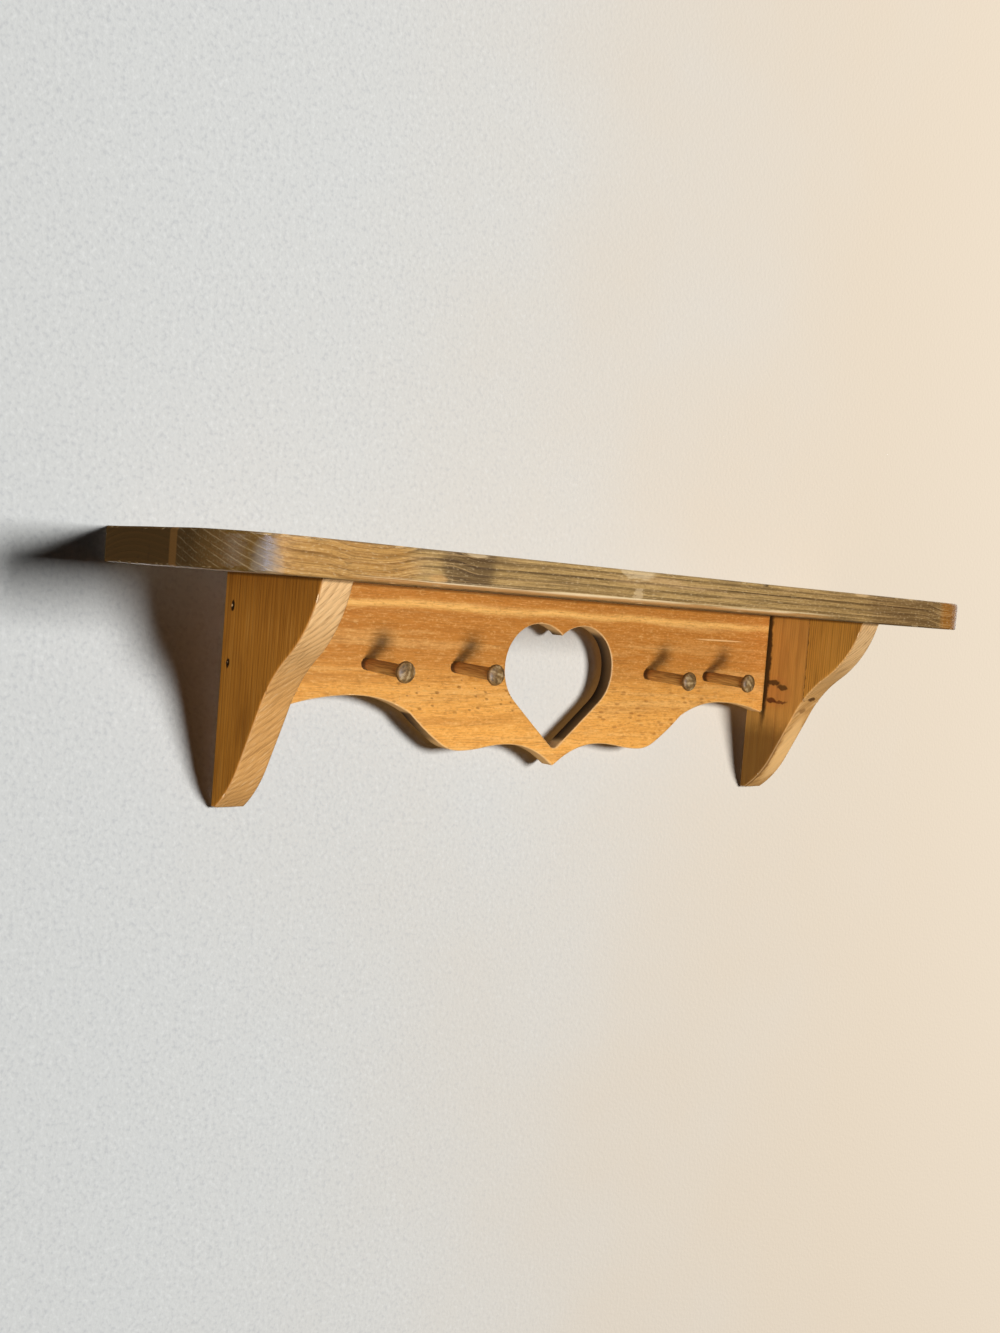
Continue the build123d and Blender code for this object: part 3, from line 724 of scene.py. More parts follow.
# %% Finish of the rail
def honey_pine():
    """Pine under one coat of honey stain and wax: warm and even, a soft shine, with pits that stay dull."""
    finish, tree = new_finish("honey_stained_pine")
    place, facing = millimetres(tree), faced(tree)
    x, y, z = add(tree, "ShaderNodeSeparateXYZ", {0: place}).outputs
    season, growth, hairs = growth_rings(
        tree, place, pith=(0, 90, -150), across=(0.02, 1, 1), spacing=6.5, wander=16.0, seed=9.0,
    )
    late = late_wood(tree, season, growth)
    fibre = stretched_noise(tree, place, (9, 0.7, 0.7), 7.0, 4.0)
    speckle = stretched_noise(tree, place, (2.4, 1.1, 1.1), 61.0, 3.0)
    band = stretched_noise(tree, place, (170, 40, 7), 11.0, 3.0)
    pit, tear, dimple = rail_dents(tree, x, z)
    sawn = over(tree, facing["Y"], 0.75, 0.45)
    # the heart's sawn sides, which are given painted shade
    shaded_heart_side = both(tree, sawn, over(tree, facing["X"], 0.42, 0.7), over(tree, z, -95, -91.5))
    wavy = stretched_noise(tree, place, (60, 60, 60), 12.0, 2.0)
    wavy = add(tree, "ShaderNodeMath", {0: wavy, 1: 9.0, 2: z}, operation="MULTIPLY_ADD")
    wood = coats(
        tree, "#e9a44b",
        (late, 0.35, "#b5732a"),
        # painted shade from the shelf on the upper part, a painted band of light across it, and long bands
        (over(tree, z, -66, -34), 0.66, "#b66a20"),
        (zone(tree, wavy, -7.5, -3.5, 4.0), 0.88, "#ffc46a"),
        (over(tree, band, 0.52, 0.66), 0.4, "#c07f38"),
        (over(tree, band, 0.48, 0.34), 0.35, "#f6bf70"),
        # hair lines, fibres and specks, each dark and pale
        (over(tree, hairs, 0.5, 0.68), 0.35, "#a0672a"),
        (over(tree, fibre, 0.52, 0.68), 0.4, "#9a642b"),
        (over(tree, fibre, 0.47, 0.32), 0.25, "#fccb7e"),
        (over(tree, speckle, 0.52, 0.7), 0.35, "#a56526"),
        (over(tree, speckle, 0.46, 0.3), 0.3, "#ffcf80"),
        # torn fibres, pits and one long scratch
        (tear, 0.55, "#96581c"),
        (pit, 0.55, "#7e4b12"),
        (near(tree, place, (160, -16, -20.8), (27, 4, 0.55)), 0.65, "#ffd592"),
        # sawn edges, paler in front, with painted shade at their back and deep painted shade on the heart's sides
        (sawn, 0.75, "#ffcb86"),
        (both(tree, sawn, over(tree, y, -9, -5)), 0.3, "#7a4a1e"),
        (shaded_heart_side, 0.85, "#4b2f14"),
        (both(tree, shaded_heart_side, over(tree, y, -14, -6)), 0.8, "#170d05"),
        # bare arrises and chips, and painted shade in the joints under the shelf and against the right bracket
        (mark(tree, "arris"), 0.6, "#f6cc8c"),
        (mark(tree, "chip"), 0.6, "#f4d6a6"),
        (over(tree, z, -2.4, -0.6), 0.7, "#5e340b"),
        (over(tree, x, 212.6, 213.8), 0.9, "#1f0f03"),
    )
    roughness = add(tree, "ShaderNodeMapRange", {"Value": band, "To Min": 0.4, "To Max": 0.58})
    relief = add(tree, "ShaderNodeMath", {0: fibre, 1: 0.7, 2: both(tree, late, 0.4)}, operation="MULTIPLY_ADD")
    for dent, height in ((pit, -3.0), (tear, -2.5), (dimple, 4.0)):
        relief = add(tree, "ShaderNodeMath", {0: dent, 1: height, 2: relief}, operation="MULTIPLY_ADD")
    varnish(tree, wood, roughness, relief, 0.1, 0.35)
    return finish


rail_finish = honey_pine()
print(rail_finish.name)

# %% [markdown]
# ## The golden pine of the brackets
#
# A bracket's cheeks took the stain evenly and went a dark gold. Its ogee was sawn across the fibres, and there
# the stain wore off, so the edge is sandy, with short slanted fibres that the saw lifted.

# %% Finish of the brackets
def golden_pine(name, pith, spacing, spring, autumn, marks):
    """A bracket board's pine, stained a dark gold: smooth and silky on the cheeks, dry and sandy on the sawn
    edge. spring and autumn are the colours of its rings, and marks are the board's own knot marks and stains,
    with the painted shadows that fall on it: centre, half-size, strength and colour."""
    finish, tree = new_finish(name)
    place, facing = millimetres(tree), faced(tree)
    season, growth, hairs = growth_rings(tree, place, pith, (1, 1, 0.02), spacing, wander=5.0, seed=21.0)
    late = late_wood(tree, season, growth)
    fibre = stretched_noise(tree, place, (0.7, 0.7, 34), 7.0, 4.0)
    cloud = stretched_noise(tree, place, (14, 14, 60), 15.0, 2.0)
    # the saw lifted the fibres of the ogee in slanting lines
    x, y, z = add(tree, "ShaderNodeSeparateXYZ", {0: place}).outputs
    down = add(tree, "ShaderNodeMath", {0: y, 1: 0.5, 2: z}, operation="MULTIPLY_ADD")
    down = add(tree, "ShaderNodeMath", {0: x, 1: -0.8, 2: down}, operation="MULTIPLY_ADD")
    slanted = add(tree, "ShaderNodeCombineXYZ", {"X": down, "Y": x, "Z": y})
    torn = stretched_noise(tree, slanted, (0.9, 6, 14), 23.0, 4.0)
    ragged_place = strayed(tree, place, (4, 4, 4), 51.0, 2.0, 4)
    sawn = over(tree, facing["X"], 0.75, 0.45)
    wood = coats(
        tree, spring,
        (late, 0.45, autumn),
        (over(tree, cloud, 0.5, 0.7), 0.4, autumn),
        (over(tree, hairs, 0.5, 0.68), 0.4, autumn),
        (over(tree, fibre, 0.52, 0.68), 0.45, autumn),
        (over(tree, fibre, 0.46, 0.32), 0.3, "#e0a450"),
        # the sawn edge, paler towards the shelf, with its own rings and torn fibres
        (sawn, 0.8, "#cb9a5c"),
        (both(tree, sawn, over(tree, z, -66, -6)), 0.5, "#ffd79c"),
        (both(tree, sawn, late), 0.5, "#9a6a34"),
        (both(tree, sawn, over(tree, torn, 0.52, 0.66)), 0.45, "#8a6234"),
        (both(tree, sawn, over(tree, torn, 0.46, 0.32)), 0.25, "#f0d3a0"),
        *((near(tree, ragged_place, centre, size), strength, colour) for centre, size, strength, colour in marks),
        # painted shade under the shelf, and bare wood on the arrises and in the chips
        (over(tree, z, -2.0, -0.5), 0.6, "#2f1905"),
        (mark(tree, "arris"), 0.35, "#e6bf8a"),
        (mark(tree, "chip"), 0.6, "#f0d8b0"),
    )
    roughness = add(tree, "ShaderNodeMapRange", {"Value": cloud, "To Min": 0.46, "To Max": 0.64})
    relief = add(tree, "ShaderNodeMath", {0: fibre, 1: 0.6, 2: both(tree, late, 0.5)}, operation="MULTIPLY_ADD")
    relief = add(tree, "ShaderNodeMath", {0: both(tree, sawn, torn), 1: 1.5, 2: relief}, operation="MULTIPLY_ADD")
    varnish(tree, wood, roughness, relief, 0.1, 0.2)
    return finish


# %% The marks of each bracket board
INNER, OUTER = 214.8, 233.5  # a bracket's cheeks are this far from the middle, so it is 18.7 mm thick
LEFT_NAILS = [(8.9, -18.3), (7.5, -50.0)]  # how far the two punched nails are from the wall, and their height
nail_stain = [((-OUTER, -out, height), (3, 2.0, 3.1), 0.95, "#1e0f04") for out, height in LEFT_NAILS]
# two knot marks lie across the inner cheek, each in two parts, with warm wood round them, then a mark on
# the band, and a painted shadow where the rail's front meets the cheek
inner_cheek_marks = [
    ((INNER, -28, -56.5), (3, 14, 12), 0.35, "#b8733a"),
    ((INNER, -24, -49.5), (3, 6.5, 2.4), 0.85, "#35230b"),
    ((INNER, -32, -52.5), (3, 5.5, 2.0), 0.8, "#3d280f"),
    ((INNER, -23, -62.6), (3, 5, 2.4), 0.85, "#4a1c08"),
    ((INNER, -31, -63.2), (3, 6.5, 1.3), 0.75, "#54280f"),
    ((222, -46, -68), (4, 3, 2.4), 0.6, "#7a4f24"),
    # a painted shadow in the corner where the rail's front meets the cheek
    ((INNER, -15.5, -34), (3, 4.2, 50), 0.9, "#231203"),
]
front_knot = ((224, -53, -59), (4, 4.5, 2.0), 0.85, "#452408")
# a painted shadow of the rail over the low part of the right bracket's inner cheek
painted_foot_shadow = ((INNER, -20, -125), (3, 60, 46), 0.62, "#5a3308")
toe_wear = ((226, -30, -100), (8.0, 44, 30), 0.5, "#ffce88")
glue_line = ((INNER, -51.7, -60), (3, 0.6, 90), 0.55, "#3f220a")
# each board came from its own part of a trunk: where its pith was, how wide its rings are, and their colours
left_wood = ((-290, -165, 0), 2.9, "#c47f2b", "#7b450f")
right_rear_wood = ((150, -140, 0), 6.5, "#d29442", "#a66d2e")
right_front_wood = ((170, -175, 0), 1.7, "#cf9139", "#704212")
bracket_finishes = {
    (hand, strip): golden_pine(f"{hand}_{strip}_golden_pine", *wood, marks)
    for hand, strip, wood, marks in (
        ("left", "rear", left_wood, nail_stain),
        ("left", "front", left_wood, []),
        ("right", "rear", right_rear_wood, [*inner_cheek_marks, painted_foot_shadow, toe_wear]),
        ("right", "front", right_front_wood, [painted_foot_shadow, glue_line, front_knot]),
    )
}
print("bracket finishes:", len(bracket_finishes))

# %% [markdown]
# ## The shelf, the rail and the brackets
#
# Each board gets its outline from the frame, its arrises, and its wear. Arrises are left square where two strips
# are glued and where a board meets the wall.

# %% The shelf board
ON_LINE = 0.6 * MM  # a point of an outline that is this near a line lies on it
PUNCHED = (1.55, 1.3)  # radius and depth of the hole over a punched nail
BRACKET_MIDDLE = 224.15  # how far the middle of a bracket is from the middle of the shelf


def eased(radius, *sharp):
    """An easing of that radius, except where the outline lies on a sharp line: (axis, place, radius there)."""
    def easing(loop):
        sizes = np.full(len(loop), radius * MM)
        for axis, place, small in sharp:
            sizes[np.abs(loop[:, axis] - place * MM) < ON_LINE] = small * MM
        return sizes
    return easing


shelf_nails = [(side * BRACKET_MIDDLE, y) for side in (-1, 1) for y in (-26, -75)] + [(-112, -10.5), (112, -10.5)]
shelf_board = Board("shelf_board", (1, 0, 0), (0, 1, 0), back=0.0, thickness=19.0, step=1.7, cut_depth=9.5)
back_edge = (1, 0.0, 0.5)
shelf = board_mesh(
    "shelf_dressed", shelf_board, eased(1.5, back_edge), eased(1.2, back_edge), wall_step=1.6, back_step=4.0,
    pits=[(nail, *PUNCHED) for nail in shelf_nails],
)
grown(
    shelf, wear, arris_wear=0.5, chip_depth=0.8, chip_share=0.4, chip_size=(8, 3, 3), waviness=0.35, seed=2.0,
    wood=shelf_finish,
)

# %% The rail
PEG_HOLE = 5 * MM  # a point of the outline that is this near a peg's axis is on its hole
PEG_HOLE_EASING, TOP_EASING = 0.1 * MM, 0.3 * MM
peg_boxes = [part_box(f"peg_{place}") for place in ("outer_left", "inner_left", "inner_right", "outer_right")]
peg_feet = [((low + high) / 2).xz for low, high in peg_boxes]


def rail_easing(radius):
    """An easing of that radius, but nearly square round the pegs and under the shelf."""
    def easing(loop):
        sizes = np.full(len(loop), radius * MM)
        for foot in peg_feet:
            sizes[np.hypot(*(loop - np.array(foot)).T) < PEG_HOLE] = PEG_HOLE_EASING
        sizes[loop[:, 1] > -ON_LINE] = TOP_EASING
        return sizes
    return easing


rail_board = Board("peg_rail", (1, 0, 0), (0, 0, 1), back=5.0, thickness=11.0, step=1.25, cut_depth=0.8)
# the rail's right-hand foot and its middle point are rubbed round: where they lie, how far the rubbing reaches
# and how deep it goes
for direction, reach, depth in (((-1, 1), 3.5, 1.2), ((0, 1), 6.0, 0.5)):
    outline = rail_board.loops[0]
    tip = outline[np.argmin(outline @ direction)]
    rubbed = np.clip(1 - np.linalg.norm(outline - tip, axis=1) / (reach * MM), 0, 1)[:, None]
    rail_board.loops[0] = outline + inward(outline) * rubbed ** 2 * depth * MM
rail = board_mesh("rail_dressed", rail_board, rail_easing(0.9), rail_easing(0.3), wall_step=1.6, back_step=3.0)
grown(
    rail, wear, arris_wear=0.3, chip_depth=0.4, chip_share=0.34, chip_size=(6, 3, 4), waviness=0.3, seed=5.0,
    wood=rail_finish,
)

# %% The brackets
GLUED_AT = 51.5  # how far from the wall the two strips of a bracket meet
# a bracket's board is built with its face towards the left. The glue line opens a little, as the easing of the
# glued edge, only on the right bracket's inner cheek
brackets = []
for hand, back, glue_lines in (("left", INNER, (0.01, 0.01)), ("right", -OUTER, (0.12, 0.01))):
    for strip in ("rear", "front"):
        board = Board(
            f"{hand}_bracket_{strip}_board", (0, -1, 0), (0, 0, 1),
            back=back, thickness=18.7, step=1.25, cut_depth=1.0,
        )
        face, rear = (eased(0.8, (0, 0.0, 0.3), (0, GLUED_AT, gap), (1, 0.0, 0.1)) for gap in glue_lines)
        nails = LEFT_NAILS if (hand, strip) == ("left", "rear") else []
        piece = board_mesh(
            f"{hand}_bracket_{strip}_dressed", board, face, rear, wall_step=1.4, back_step=1.8,
            pits=[(nail, *PUNCHED) for nail in nails],
        )
        grown(
            piece, wear, arris_wear=0.35, chip_depth=0.5, chip_share=0.36, chip_size=(4, 4, 6), waviness=0.0,
            seed=7.0 + len(brackets), wood=bracket_finishes[hand, strip],
        )
        brackets.append((piece, board.node))

# %% [markdown]
# ## Recesses for the hangers
#
# The keyhole plates lie in shallow mortises in the back edges of the brackets, with a round pocket behind each
# keyhole for the head of the wall screw. A Boolean modifier cuts them, and its result becomes the mesh.

# %% Mortises
SLOT_POINTS = 32
PLATE_BED = {"radius": 7.0, "low": -38.5, "high": -11.5, "deep": 1.65}
SCREW_POCKET = {"radius": 5.2, "low": -29.0, "high": -20.0, "deep": 6.6}


def solid(name, mesh):
    """A closed shape with its faces turned outwards, as an object."""
    bmesh.ops.recalc_face_normals(mesh, faces=mesh.faces)
    data = bpy.data.meshes.new(name)
    mesh.to_mesh(data)
    mesh.free()
    return placed(name, data)


def slot_cutter(middle_x, radius, low, high, deep):
    """A solid with round ends, from 1 mm outside the back edge to that depth, to cut a slot."""
    mesh = bmesh.new()
    outline = []
    for turn in np.arange(SLOT_POINTS) * math.pi / (SLOT_POINTS / 2) + math.pi / SLOT_POINTS:
        middle_z = high if math.sin(turn) > 0 else low
        outline.append((middle_x + radius * math.cos(turn), middle_z + radius * math.sin(turn)))
    ends = [[mesh.verts.new((x * MM, y * MM, z * MM)) for x, z in outline] for y in (1.0, -deep)]
    mesh.faces.new(ends[0])
    mesh.faces.new(ends[1][::-1])
    for i in range(SLOT_POINTS):
        j = (i + 1) % SLOT_POINTS
        mesh.faces.new((ends[0][j], ends[0][i], ends[1][i], ends[1][j]))
    return solid("cutter", mesh)


for (piece, _), side in ((brackets[0], -1), (brackets[2], 1)):
    cutters = [slot_cutter(side * BRACKET_MIDDLE, **slot) for slot in (PLATE_BED, SCREW_POCKET)]
    for cutter in cutters:
        cut = piece.modifiers.new("cut", "BOOLEAN")
        cut.object, cut.solver = cutter, "EXACT"
    print(piece.name, "cut:", len(plain(piece).polygons), "faces")
    for cutter in cutters:
        bpy.data.objects.remove(cutter)

for piece, node in ((shelf, "shelf_board"), (rail, "peg_rail"), *brackets):
    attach(piece, "root")
    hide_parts(node)

# %% [markdown]
# ## The pegs
#
# Each peg was turned on a lathe and glued into the rail, and each one droops a little in its hole. A profile spun
# round its axis gives one peg, and Geometry Nodes put it at the four places with its own turn and droop. Each
# point remembers its place on the peg, so that the grain runs along every peg.

# %% Finish of the pegs
def turned_hardwood():
    """Beech, turned and stained brown: close and smooth, and darker round the head, which hands and cloth have
    rubbed shiny. The foot has painted shade where it meets the rail. Its y is how far a point stands out of the
    rail, below 0."""
    finish, tree = new_finish("brown_stained_turned_beech")
    local = add(tree, "ShaderNodeAttribute", attribute_name="peg_place").outputs["Vector"]
    y = add(tree, "ShaderNodeSeparateXYZ", {0: local}).outputs["Y"]
    fibre = stretched_noise(tree, local, (0.7, 12, 0.7), 7.0, 3.0)
    flecks = stretched_noise(tree, local, (1.5, 30, 3.0), 17.0, 3.0)
    foot = zone(tree, y, -4.0, 3.0, 3.0)
    head = over(tree, y, -36.0, -38.0)
    face = over(tree, y, -40.2, -41.4)
    wood = coats(
        tree, "#915c22",
        (over(tree, fibre, 0.3, 0.7), 1.0, "#d09a4e"),
        # painted shade at the foot, where the peg meets the rail
        (foot, 0.9, "#301c0c"),
        (head, 0.6, "#6e4d29"),
        (zone(tree, y, -40.6, -38.4, 1.0), 0.5, "#38230f"),
        (face, 0.8, "#7a5f38"),
        (both(tree, face, over(tree, flecks, 0.52, 0.64)), 0.6, "#c6ab7c"),
        (both(tree, face, over(tree, flecks, 0.47, 0.36)), 0.7, "#463319"),
    )
    varnish(tree, wood, 0.42, fibre, 0.05, 0.45)
    return finish


peg_finish = turned_hardwood()
print(peg_finish.name)

# %% One peg
PEG_SIDES = 48


def turned_peg():
    """Half of a peg's outline, as distance from the rail's front and radius, spun into a solid."""
    tenon = [(10.9, 0.0), (10.9, 3.2), (0.0, 3.2), (-0.02, 3.6)]
    neck = [(-8, 3.66), (-18, 3.74), (-28, 3.82), (-35.6, 3.9), (-36.6, 4.1), (-37.2, 4.6), (-37.5, 5.1)]
    head = [(-37.8, 5.5), (-38.4, 6.05), (-39.2, 6.36), (-40.0, 6.3), (-40.7, 5.95), (-41.15, 5.3)]
    dome = [(-41.6, 4.3), (-42.05, 3.0), (-42.35, 1.6), (-42.48, 0.0)]
    mesh = bmesh.new()
    line = [mesh.verts.new((r * MM, t * MM, 0)) for t, r in tenon + neck + head + dome]
    edges = [mesh.edges.new(pair) for pair in zip(line, line[1:])]
    bmesh.ops.spin(mesh, geom=line + edges, cent=(0, 0, 0), axis=(0, 1, 0), angle=math.tau, steps=PEG_SIDES)
    bmesh.ops.remove_doubles(mesh, verts=mesh.verts, dist=SAME_POINT)
    return solid("turned_peg", mesh)


one_peg = turned_peg()
print("one peg:", len(one_peg.data.polygons), "faces")

# %% The row of pegs
ROLL_SEED = 11  # how each peg was turned in its hole when it was glued


def peg_row_tree():
    """Puts a peg at each foot, turned about its axis at random and drooping by some degrees."""
    tree, given = new_tree("peg_row", {
        "Feet": ("Geometry", None),
        "Peg": ("Object", None),
        "Droop": ("Float", 1.5),
        "Droop Spread": ("Float", 0.7),
        "Seed": ("Int", 3),
        "Wood": ("Material", None),
    }, "Pegs")
    peg = add(tree, "GeometryNodeObjectInfo", {"Object": given["Peg"]}).outputs["Geometry"]
    spot = add(tree, "GeometryNodeInputPosition")
    place = add(tree, "ShaderNodeVectorMath", {"Vector": spot, "Scale": 1 / MM}, operation="SCALE")
    marked = {"Geometry": peg, "Name": "peg_place", "Value": place}
    marked = add(tree, "GeometryNodeStoreNamedAttribute", marked, data_type="FLOAT_VECTOR", domain="POINT")
    spread = {"Min": -1.0, "Max": 1.0, "Seed": given["Seed"]}
    spread = add(tree, "FunctionNodeRandomValue", spread, data_type="FLOAT")
    droop = {0: spread, 1: given["Droop Spread"], 2: given["Droop"]}
    droop = add(tree, "ShaderNodeMath", droop, operation="MULTIPLY_ADD")
    droop = add(tree, "ShaderNodeMath", {0: droop}, operation="RADIANS")
    roll = {"Min": 0.0, "Max": math.tau, "Seed": ROLL_SEED}
    roll = add(tree, "FunctionNodeRandomValue", roll, data_type="FLOAT")
    turned = add(tree, "FunctionNodeAxisAngleToRotation", {"Axis": (0, 1, 0), "Angle": roll})
    drooped = add(tree, "FunctionNodeAxisAngleToRotation", {"Axis": (1, 0, 0), "Angle": droop})
    rotation = {"Rotation": turned, "Rotate By": drooped}
    rotation = add(tree, "FunctionNodeRotateRotation", rotation, rotation_space="GLOBAL")
    row = {"Points": given["Feet"], "Instance": marked, "Rotation": rotation}
    row = add(tree, "GeometryNodeInstanceOnPoints", row)
    real = add(tree, "GeometryNodeRealizeInstances", {"Geometry": row})
    smooth = add(tree, "GeometryNodeSetShadeSmooth", {"Geometry": real})
    dressed = add(tree, "GeometryNodeSetMaterial", {"Geometry": smooth, "Material": given["Wood"]})
    add(tree, "NodeGroupOutput", {0: dressed})
    return tree


RAIL_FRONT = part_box("peg_rail")[0].y
feet = bpy.data.meshes.new("peg_feet")
feet.from_pydata([(x, RAIL_FRONT, z) for x, z in peg_feet], [], [])
pegs = placed("pegs_dressed", feet)
grown(pegs, peg_row_tree(), peg=one_peg, droop=1.5, droop_spread=0.7, seed=3, wood=peg_finish)
bpy.data.objects.remove(one_peg)
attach(pegs, "root")
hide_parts("peg_outer_left", "peg_inner_left", "peg_inner_right", "peg_outer_right")
print("pegs:", len(pegs.data.polygons), "faces")

# %% [markdown]
# ## Steel
#
# The nails are bare wire that has gone brown in the wood, so they are rough and dark. The hanger plates and their
# screws are zinc-plated steel, with the cloudy sheen of plating.

# %% Finishes of the steel
def steel(name, bright, dull, roughness):
    """Steel in two colours that cloud into each other some 4 mm apart, with a dull shine that clouds too."""
    finish, tree = new_finish(name)
    cloud = stretched_noise(tree, millimetres(tree), (4, 4, 4), 1.0, 4.0)
    colour = coats(tree, bright, (over(tree, cloud, 0.35, 0.65), 1.0, dull))
    rough = add(tree, "ShaderNodeMapRange", {"Value": cloud, "To Min": roughness, "To Max": roughness + 0.25})
    bump = add(tree, "ShaderNodeBump", {"Height": cloud, "Strength": 0.6, "Distance": 0.05 * MM})
    metal = {"Base Color": colour, "Metallic": 1.0, "Roughness": rough, "Normal": bump}
    metal = add(tree, "ShaderNodeBsdfPrincipled", metal)
    add(tree, "ShaderNodeOutputMaterial", {"Surface": metal})
    return finish


nail_finish = steel("brown_wire_nail_steel", "#6b4524", "#22160b", 0.6)
hanger_finish = steel("zinc_plated_steel", "#c9c8c2", "#9d9b94", 0.3)
for node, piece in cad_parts.items():
    finish = nail_finish if "nails" in node else hanger_finish if "hanger" in node else None
    if finish:
        piece.data.materials.clear()
        piece.data.materials.append(finish)
print(nail_finish.name, hanger_finish.name)

# %% [markdown]
# ## The wall, the floor, the light and the camera
#
# The shelf hangs on a pale plastered wall. The light that reaches a wall and the light that models the wood in
# front of it can differ, so light linking gives the wall, the floor and the wood their own lamps. The wall's lamp
# stands well to the right, and the brackets' shadows fall to the left. The wood's main lamp stands low on the
# left, and the pegs' shadows run up to the right. A small cool lamp puts the sheen on the shelf's waxed corner,
# and weak ones fill from the sides, from above and from behind. The wall and the floor let light and sight
# through from behind, so that the back of the shelf can be looked at too.

# %% Stage
def pale_stage(name, cool, warm, dark_grit, pale_grit):
    """Rough plaster with a matt, chalky look: cool and gritty on the left, warm and smoother on the right."""
    finish, tree = new_finish(name)
    place = millimetres(tree)
    across = add(tree, "ShaderNodeSeparateXYZ", {0: place}).outputs["X"]
    cloud = stretched_noise(tree, place, (260, 260, 260), 8.0, 5.0)
    across = add(tree, "ShaderNodeMath", {0: cloud, 1: 500.0, 2: across}, operation="MULTIPLY_ADD")
    grit = stretched_noise(tree, place, (2.6, 2.6, 2.6), 2.0, 5.0)
    speckled = add(tree, "ShaderNodeMath", {0: 1.0, 1: over(tree, across, 0, 500)}, operation="SUBTRACT")
    colour = coats(
        tree, cool,
        (over(tree, across, -60, 660), 1.0, warm),
        (both(tree, speckled, over(tree, grit, 0.5, 0.7)), 0.3, dark_grit),
        (both(tree, speckled, over(tree, grit, 0.46, 0.3)), 0.3, pale_grit),
    )
    bump = add(tree, "ShaderNodeBump", {"Height": grit, "Strength": 0.5, "Distance": 0.6 * MM})
    plaster = {"Base Color": colour, "Roughness": 0.9, "Normal": bump, "Specular IOR Level": 0.1}
    plaster = add(tree, "ShaderNodeBsdfPrincipled", plaster)
    clear = add(tree, "ShaderNodeBsdfTransparent")
    # plaster only from in front and only to the camera: from behind, and to all other rays, it is clear
    ray = add(tree, "ShaderNodeLightPath").outputs
    behind = add(tree, "ShaderNodeNewGeometry").outputs["Backfacing"]
    elsewhere = add(tree, "ShaderNodeMath", {0: 1.0, 1: ray["Is Camera Ray"]}, operation="SUBTRACT")
    unseen = add(tree, "ShaderNodeMath", {0: elsewhere, 1: behind}, operation="MAXIMUM")
    surface = add(tree, "ShaderNodeMixShader", {0: unseen, 1: plaster, 2: clear})
    add(tree, "ShaderNodeOutputMaterial", {"Surface": surface})
    return finish


def sheet(name, corners, finish):
    """A flat face that belongs to the stage and not to the object."""
    mesh = bpy.data.meshes.new(name)
    mesh.from_pydata(corners, [], [(0, 1, 2, 3)])
    mesh.materials.append(finish)
    piece = placed(name, mesh)
    return piece


WALL_GAP = 0.4 * MM  # the wall stands this far behind the object, so that no two faces lie in one plane
SIDE, GROUND, FRONT, TOP = 4, -1.25, -5, 3  # the stage's edges, in metres
wall = sheet(
    "wall", [(-SIDE, WALL_GAP, GROUND), (SIDE, WALL_GAP, GROUND), (SIDE, WALL_GAP, TOP), (-SIDE, WALL_GAP, TOP)],
    pale_stage("pale_plaster", cool="#bebfbd", warm="#c3b6a4", dark_grit="#96989d", pale_grit="#d3d4d2"),
)
floor = sheet(
    "floor",
    [(-SIDE, WALL_GAP, GROUND), (-SIDE, FRONT, GROUND), (SIDE, FRONT, GROUND), (SIDE, WALL_GAP, GROUND)],
    pale_stage("pale_floor", cool="#dedbd5", warm="#e2d9cc", dark_grit="#b7bac0", pale_grit="#fbfbf8"),
)
print("stage:", wall.name, "and", floor.name)

# %% Lamps and world
def lit_only(name, pieces, state):
    """A collection for a lamp's light linking. With INCLUDE the lamp lights only these pieces, and with EXCLUDE
    everything but them."""
    group = bpy.data.collections.new(name)
    for piece in pieces:
        group.objects.link(piece)
    for link in group.collection_objects:
        link.light_linking.link_state = state
    return group


def soft_lamp(name, spot, size, level, receivers, tint="#ffffff"):
    """A square lamp at a place in metres, turned towards the shelf. At level 1 a white card that faces it at
    the shelf renders white, whatever its distance."""
    light = bpy.data.lights.new(name, "AREA")
    light.shape, light.size = "SQUARE", size
    light.energy = level * math.pi ** 2 * Vector(spot).length_squared
    light.color = linear(tint)[:3]
    lamp = placed(name, light)
    lamp.location = spot
    lamp.rotation_euler = (-Vector(spot)).to_track_quat("-Z", "Y").to_euler()
    lamp.light_linking.receiver_collection = receivers


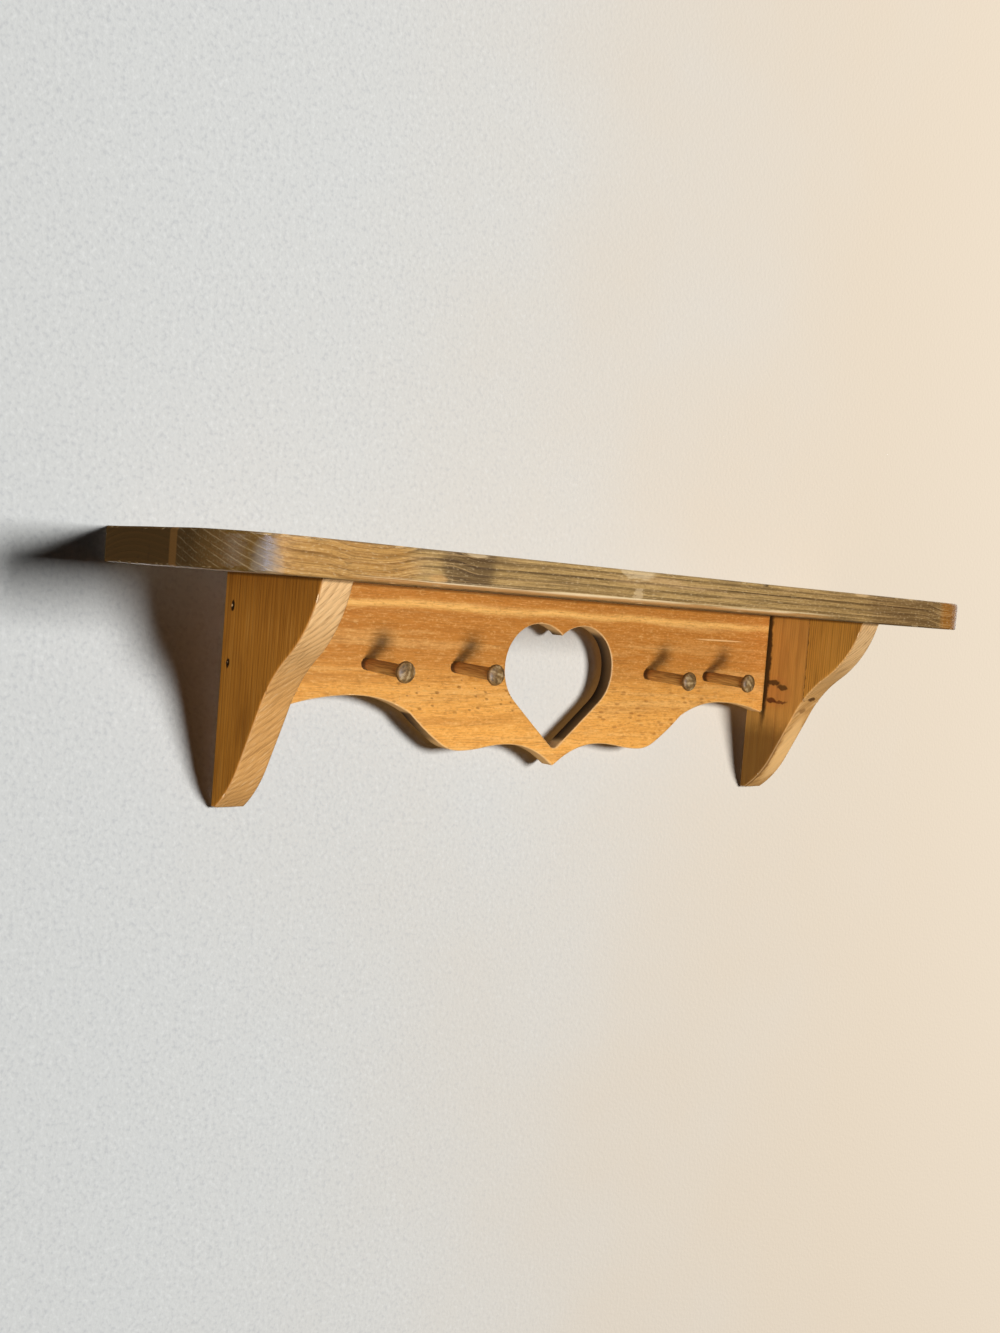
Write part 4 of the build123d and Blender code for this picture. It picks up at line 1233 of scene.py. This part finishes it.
plaster = lit_only("plaster", [wall], "INCLUDE")
ground = lit_only("ground", [floor], "INCLUDE")
furniture = lit_only("furniture", [wall, floor], "EXCLUDE")
soft_lamp("wall_wash", (2.9, -5.2, 0.75), 1.5, 1.64, plaster)
soft_lamp("floor_wash", (0.0, -1.6, 2.2), 1.4, 2.6, ground)
soft_lamp("front_key", (-0.62, -1.85, -0.72), 0.5, 0.8, furniture, "#fffaf3")
soft_lamp("corner_sheen", (-0.88, -1.9, 0.03), 0.14, 0.32, furniture, "#bdd2ff")
soft_lamp("front_top", (0.3, -1.9, 1.2), 1.0, 0.35, furniture)
soft_lamp("left_fill", (-1.9, -0.7, 0.2), 1.0, 0.22, furniture)
soft_lamp("right_fill", (1.9, 0.4, 0.2), 1.0, 0.35, furniture)
soft_lamp("top_fill", (0.0, -0.5, 1.9), 1.0, 0.6, furniture)
soft_lamp("back_fill", (0.3, 2.0, -0.3), 0.6, 0.4, furniture)
ROOM_LIGHT, ROOM_SEEN = 0.012, 0.9  # the room hardly lights anything, but looks pale to the camera
world = bpy.data.worlds.new("room")
bpy.context.scene.world = world
world.use_nodes = True
world.node_tree.nodes.clear()
seen = add(world.node_tree, "ShaderNodeLightPath").outputs["Is Camera Ray"]
strength = add(world.node_tree, "ShaderNodeMapRange", {"Value": seen, "To Min": ROOM_LIGHT, "To Max": ROOM_SEEN})
sky = add(world.node_tree, "ShaderNodeBackground", {"Color": "#f1f0ee", "Strength": strength})
add(world.node_tree, "ShaderNodeOutputWorld", {"Surface": sky})

# %% Camera
FRAME_HEIGHT = 1333  # pixels, of a frame 1000 wide
FOCAL = 1385.91  # in the same pixels
EYE = Vector((-605.96, -688.52, -2.96)) * MM
YAW, PITCH, ROLL = (math.radians(a) for a in (39.79, -2.80, 4.52))
SENSOR = 36.0
lens = bpy.data.cameras.new("camera")
lens.sensor_width, lens.lens, lens.clip_start = SENSOR, FOCAL * SENSOR / FRAME_HEIGHT, 0.01
forward = Vector((math.sin(YAW) * math.cos(PITCH), math.cos(YAW) * math.cos(PITCH), math.sin(PITCH)))
level = Vector((math.cos(YAW), -math.sin(YAW), 0))
upward = level.cross(forward)
right = math.cos(ROLL) * level + math.sin(ROLL) * upward
above = -math.sin(ROLL) * level + math.cos(ROLL) * upward
camera = placed("camera", lens)
camera.matrix_world = Matrix.Translation(EYE) @ Matrix((right, above, -forward)).transposed().to_4x4()
bpy.context.scene.camera = camera
bpy.context.scene.view_settings.view_transform = "Standard"
print("camera at", tuple(round(c, 3) for c in EYE), "metres")
